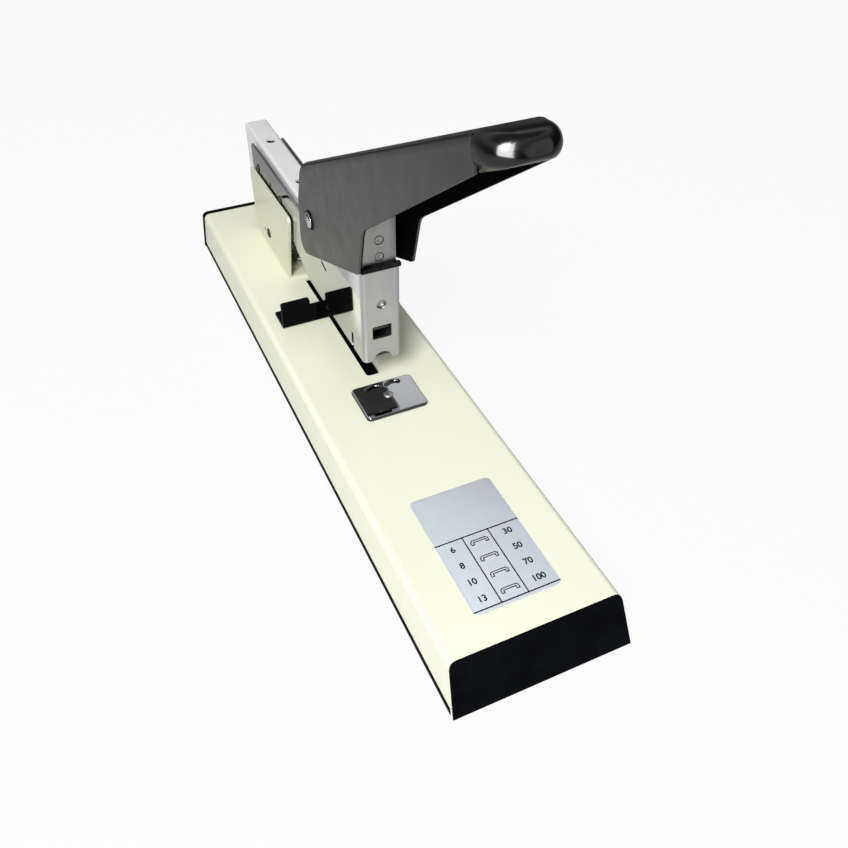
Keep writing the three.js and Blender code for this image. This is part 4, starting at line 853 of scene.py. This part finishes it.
def spring(node, material, radius, wire, curls, place, axis, length):
    """A spring of so many curls that starts at a place and runs along an axis."""
    turn = Vector(axis).to_track_quat("Z", "Y").to_matrix()

    def height(turns):
        if turns < CLOSED_CURLS:
            return wire + turns * wire * CLOSED_PITCH
        if turns > curls - CLOSED_CURLS:
            return length - wire - (curls - turns) * wire * CLOSED_PITCH
        share = (turns - CLOSED_CURLS) / (curls - 2 * CLOSED_CURLS)
        low = wire + CLOSED_CURLS * wire * CLOSED_PITCH
        return low + (length - 2 * low) * share

    steps = [i / CURL_STEPS for i in range(curls * CURL_STEPS + 1)]
    path = [Vector((radius * cos(tau * turns), radius * sin(tau * turns), height(turns))) for turns in steps]
    points, faces = tube(path, wire * WIRE_SHARE)
    points = [turn @ p + Vector(place) for p in points]
    piece = mesh_piece(f"{node}_wire", points, faces, material, WIRE_EDGE)
    stand_for(piece, node)
    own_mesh(piece)


def springs():
    """The three springs, each sized from the CAD node it replaces."""
    up, forward = (0, 0, 1), (0, -1, 0)
    low, high, middle = extent("lift_spring")
    place = (middle.x, LIFT_SPRING_Y, low.z)
    spring("lift_spring", SATIN, radius=2.8 * MM, wire=0.6 * MM, curls=5, place=place, axis=up,
           length=high.z - low.z)
    low, high, _ = extent("driver_spring")
    place = (0, DRIVER_SPRING_Y, low.z)
    spring("driver_spring", DARK, radius=2.3 * MM, wire=0.5 * MM, curls=9, place=place, axis=up,
           length=high.z - low.z)
    low, high, _ = extent("pusher_spring")
    place = (0, high.y, extent("guide_rod")[2].z)
    spring("pusher_spring", DARK, radius=2.4 * MM, wire=0.4 * MM, curls=24, place=place, axis=forward,
           length=high.y - low.y)


# Screws, rivets and feet
def pivot_screw():
    """A bright oval head with a deep slot, on its shank. The black ring under it is painted shade, and so is a
    black disc in the slot.
    """
    low, high, middle = extent("pivot_screw")
    head, shank, rise, rim = 3.0 * MM, 2.5 * MM, 1.5 * MM, 0.3 * MM
    slot, slot_turn = (1.7 * MM, 8 * MM, 1.0 * MM), radians(80)
    seat = (low.x + rise, middle.y, middle.z)
    left = (-1, 0, 0)
    # Painted shade: a black ring round the head
    profile = [(3.8 * MM, -0.05 * MM), (3.8 * MM, 0.35 * MM), (3.5 * MM, 0.55 * MM), (2.6 * MM, 0.6 * MM)]
    ring = turned("pivot_ring", profile, seat, left, SATIN_BLACK, 48)
    add_to(ring, "pivot_screw")
    profile = [(shank, low.x - high.x + rise), (shank, 0), (head - rim / 2, 0), (head, rim / 2)]
    piece = turned("pivot_screw_head", profile + dome(head, rim, rise - rim, 10), seat, left, CHROME, 48)
    carve(piece, (low.x, middle.y, middle.z), slot_turn, "X", slot)
    stand_for(piece, "pivot_screw")
    # Painted shade: a black disc at the bottom of the slot
    profile = [(1.9 * MM, 0), (1.9 * MM, 0.15 * MM), (1.7 * MM, 0.25 * MM), (0.4 * MM, 0.3 * MM)]
    slot_shade = turned("pivot_slot_floor", profile, (low.x + 0.95 * MM, middle.y, middle.z), left, SATIN_BLACK, 32)
    add_to(slot_shade, "pivot_screw")


def hinge_pin():
    """A blackened pin: a chamfered end on the left, a flat head on the right."""
    low, high, middle = extent("hinge_pin")
    length = high.x - low.x
    radius, chamfer, head, thick, rim = 2.2 * MM, 0.35 * MM, 3.4 * MM, 1.1 * MM, 0.3 * MM
    profile = [(0.6 * MM, 0.25 * MM), (0.9 * MM, 0.0), (radius - chamfer, 0.0), (radius, chamfer),
               (radius, length - thick), (head, length - thick), (head, length - rim), (head - rim, length)]
    piece = turned("hinge_pin_turned", profile, (low.x, middle.y, middle.z), (1, 0, 0), DARK)
    stand_for(piece, "hinge_pin")


def ear_studs():
    """The blackened end of a spring pin in the small hole of each ear."""
    low, high, _ = extent("rear_bracket")
    hole_y, hole_z, radius = 103.4 * MM, 28 * MM, 0.86 * MM
    profile = [(radius, -1.3 * MM), (radius, -0.1 * MM), (0.6 * MM, 0.05 * MM)]
    for name, side, ear in (("ear_stud_left", -1, low.x), ("ear_stud_right", 1, high.x)):
        piece = turned(name, profile, (ear, hole_y, hole_z), (side, 0, 0), DARK, 20)
        add_to(piece, "hinge_pin")


def blade_rivets():
    """Flush rivets with a fine ring pressed round each head."""
    radius = 1.7 * MM
    for number in (1, 2):
        node = f"blade_rivet_{number}"
        low, high, middle = extent(node)
        profile = [(radius, low.y - high.y), (radius, -0.35 * MM), (radius - 0.22 * MM, -0.3 * MM),
                   (radius - 0.3 * MM, -0.02 * MM), (radius - 0.5 * MM, 0.0),
                   (0.5 * MM, 0.0), (0.3 * MM, -0.12 * MM)]
        piece = turned(f"{node}_head", profile, (middle.x, low.y, middle.z), (0, -1, 0), BLADE)
        stand_for(piece, node)


def domed_rivets():
    """The four rivets of the bracket, painted with it, in its cream darkened as painted shade."""
    head, shank, rise = 2.1 * MM, 1.3 * MM, 0.8 * MM
    for number in range(1, 5):
        node = f"bracket_rivet_{number}"
        low, high, middle = extent(node)
        profile = [(shank, low.z - high.z), (shank, -rise)] + dome(head, -rise, rise, 8)
        piece = turned(f"{node}_head", profile, (middle.x, middle.y, high.z), (0, 0, 1), SHADED_BRACKET_CREAM, 32)
        stand_for(piece, node)


def tray_screws():
    """Countersunk screws with a cross recess, seen from below, and a coarse thread."""
    head, thick, shank, thread = 2.8 * MM, 0.8 * MM, 1.5 * MM, 0.25 * MM
    ridges = 12
    recess, recess_turn = (3.2 * MM, 0.7 * MM, 1.0 * MM), 0.4
    for number in range(1, 5):
        node = f"tray_screw_{number}"
        low, high, middle = extent(node)
        length = high.z - low.z
        profile = [(head - 0.25 * MM, 0), (head, 0.2 * MM), (head, thick), (shank, thick)]
        profile += [(shank - (thread if k % 2 else 0), thick + (length - thick) * (k + 1) / (ridges + 1))
                    for k in range(ridges)]
        profile += [(shank - 0.4 * MM, length)]
        place = (middle.x, middle.y, low.z)
        piece = turned(f"{node}_cross", profile, place, (0, 0, 1), DARK, 28)
        for angle in (0, pi / 2):
            carve(piece, place, angle + recess_turn, "Z", recess)
        stand_for(piece, node)


def rubber_feet():
    """Feet with a ring groove and a shallow cup in the middle."""
    for number in range(1, 5):
        node = f"rubber_foot_{number}"
        low, high, middle = extent(node)
        profile = [(2.2 * MM, 0.4 * MM), (2.6 * MM, 0), (4.0 * MM, 0), (4.2 * MM, 0.25 * MM),
                   (4.6 * MM, 0.25 * MM), (4.8 * MM, 0), (6.0 * MM, 0), (6.35 * MM, 0.12 * MM),
                   (6.5 * MM, 0.45 * MM), (6.5 * MM, high.z - low.z)]
        piece = turned(f"{node}_ribbed", profile, (middle.x, middle.y, low.z), (0, 0, 1), RUBBER, 48)
        stand_for(piece, node)


# Label: a paper sticker with plain numbers and the outline of a staple in each row
LABEL_HALF = 15.6 * MM
LABEL_FRONT = -125.7 * MM
LABEL_REAR = -75.5 * MM
LABEL_CORNER = 2.2 * MM
LABEL_THICK = 0.12 * MM
LABEL_EDGE = 0.05 * MM           # how far its top edge is rounded
INK_THICK = 0.012 * MM
RULES = (-96.5 * MM, -124.3 * MM)
RULE_WIDTH = 0.5 * MM
RULE_INSET = 0.3 * MM
COLUMNS = (-5.6 * MM, 4.0 * MM)
COLUMN_WIDTH = 0.45 * MM
ROW_HEIGHT = 6.9 * MM
NUMBER_SIZE = 3.3 * MM
NUMBER_WEIGHT = 0.03             # how much its strokes are thickened, times the size
LEG_NUMBERS = ("6", "8", "10", "13")
SHEET_NUMBERS = ("30", "50", "70", "100")
STAPLE_LINE = 0.35 * MM
STAPLE = ((-3.1, -0.9), (-3.1, 0.3), (-2.5, 0.9), (2.5, 0.9), (3.1, 0.3), (3.1, -0.9),
          (2.2, -0.9), (2.2, 0.1), (-2.2, 0.1), (-2.2, -0.9))


def ribbon(points, width, level, closed=False):
    """A flat printed line through points, as closed thin solids, one for each stretch."""
    result = []
    ends = points + points[:1] if closed else points
    for (x0, y0), (x1, y1) in zip(ends, ends[1:]):
        reach = hypot(x1 - x0, y1 - y0)
        along = Vector(((x1 - x0) / reach, (y1 - y0) / reach, 0)) * width / 2
        side = Vector((-along.y, along.x, 0))
        low, high = Vector((x0, y0, level)) - along, Vector((x1, y1, level)) + along
        lift = Vector((0, 0, INK_THICK))
        ring = [low - side, high - side, high + side, low + side]
        result.append(([*ring, *[p + lift for p in ring]],
                       [(3, 2, 1, 0), (4, 5, 6, 7), (0, 1, 5, 4), (1, 2, 6, 5), (2, 3, 7, 6), (3, 0, 4, 7)]))
    return result


def printed_number(text, x, y, level):
    """Points and faces of a number, centred at a place."""
    curve = bpy.data.curves.new("number", "FONT")
    curve.body = text
    curve.size = NUMBER_SIZE
    curve.align_x = "CENTER"
    curve.align_y = "CENTER"
    curve.extrude = INK_THICK / 2
    curve.offset = NUMBER_SIZE * NUMBER_WEIGHT
    holder = bpy.data.objects.new("number", curve)
    bpy.context.scene.collection.objects.link(holder)
    bpy.context.view_layer.update()
    mesh = bpy.data.meshes.new_from_object(holder.evaluated_get(bpy.context.evaluated_depsgraph_get()))
    mesh.transform(Matrix.Translation((x, y, level + INK_THICK / 2)))
    points = [v.co.copy() for v in mesh.vertices]
    faces = [tuple(p.vertices) for p in mesh.polygons]
    bpy.data.objects.remove(holder)
    bpy.data.meshes.remove(mesh)
    return points, faces


def label():
    """The sticker, with a fine bevel round its top, and its print."""
    level = COVER_TOP + LABEL_THICK
    shrink = 1 - LABEL_EDGE / LABEL_HALF
    centre_y = (LABEL_REAR + LABEL_FRONT) / 2
    outline = round_rectangle(LABEL_HALF, LABEL_FRONT, LABEL_REAR, LABEL_CORNER)
    quarter = len(outline) // 4
    outline = outline[quarter:] + outline[:quarter]           # so that it starts at its rear right corner
    points = [(x, y, z) for z in (COVER_TOP, level - LABEL_EDGE) for x, y in outline]
    points += [(x * shrink, centre_y + (y - centre_y) * shrink, level) for x, y in outline]
    paper = mesh_piece("label_paper", points, skin(3, len(outline)), PAPER)
    add_to(paper, "base_cover")

    parts = []
    for y in RULES:
        parts += ribbon([(-LABEL_HALF + RULE_INSET, y), (LABEL_HALF - RULE_INSET, y)], RULE_WIDTH, level)
    for x in COLUMNS:
        parts += ribbon([(x, RULES[0]), (x, RULES[1])], COLUMN_WIDTH, level)
    middle = sum(COLUMNS) / 2
    for row, (leg, sheets) in enumerate(zip(LEG_NUMBERS, SHEET_NUMBERS)):
        y = RULES[0] - ROW_HEIGHT * (row + 0.5)
        parts.append(printed_number(leg, (COLUMNS[0] - LABEL_HALF) / 2, y, level))
        parts.append(printed_number(sheets, (COLUMNS[1] + LABEL_HALF) / 2, y, level))
        staple = [(middle + across * MM, y + up * MM) for across, up in STAPLE]
        parts += ribbon(staple, STAPLE_LINE, level, closed=True)
    points, faces = [], []
    for part_points, part_faces in parts:
        first = len(points)
        points += part_points
        faces += [tuple(first + index for index in face) for face in part_faces]
    print_piece = mesh_piece("label_print", points, faces, INK)
    add_to(print_piece, "base_cover")


for node_name, node_finish, edge_width in SOFTENED:
    softened(node_name, node_finish, edge_width * MM)
shift_seam()
foot_seals_and_shade()
lever_grip()
anvil_plate()
anvil_rivet()
springs()
pivot_screw()
hinge_pin()
ear_studs()
blade_rivets()
domed_rivets()
tray_screws()
rubber_feet()
label()

# Finishes of the nodes that are shown as they are, with painted shade on the guide rod
SLOT_FINISHES = {"cream_paint": CREAM, "black_rubber": RUBBER, "satin_steel": SATIN, "dark_steel": DARK,
                 "chrome": CHROME, "polished_steel": POLISHED, "black_satin": SATIN_BLACK,
                 "black_paint": LEVER_BLACK, "black_gloss_plastic": CAP_BLACK}
# The guide rod is black as painted shade in the hole it shows through
NODE_FINISHES_AND_SHADE = {"cross_rivet_1": DARK, "cross_rivet_2": DARK, "guide_rod": SATIN_BLACK}
for node_name, node_object in frame["nodes"].items():
    for material_slot in node_object.material_slots:
        material_slot.material = NODE_FINISHES_AND_SHADE.get(node_name, SLOT_FINISHES[slot_of(node_name)])

make_camera()
make_studio()
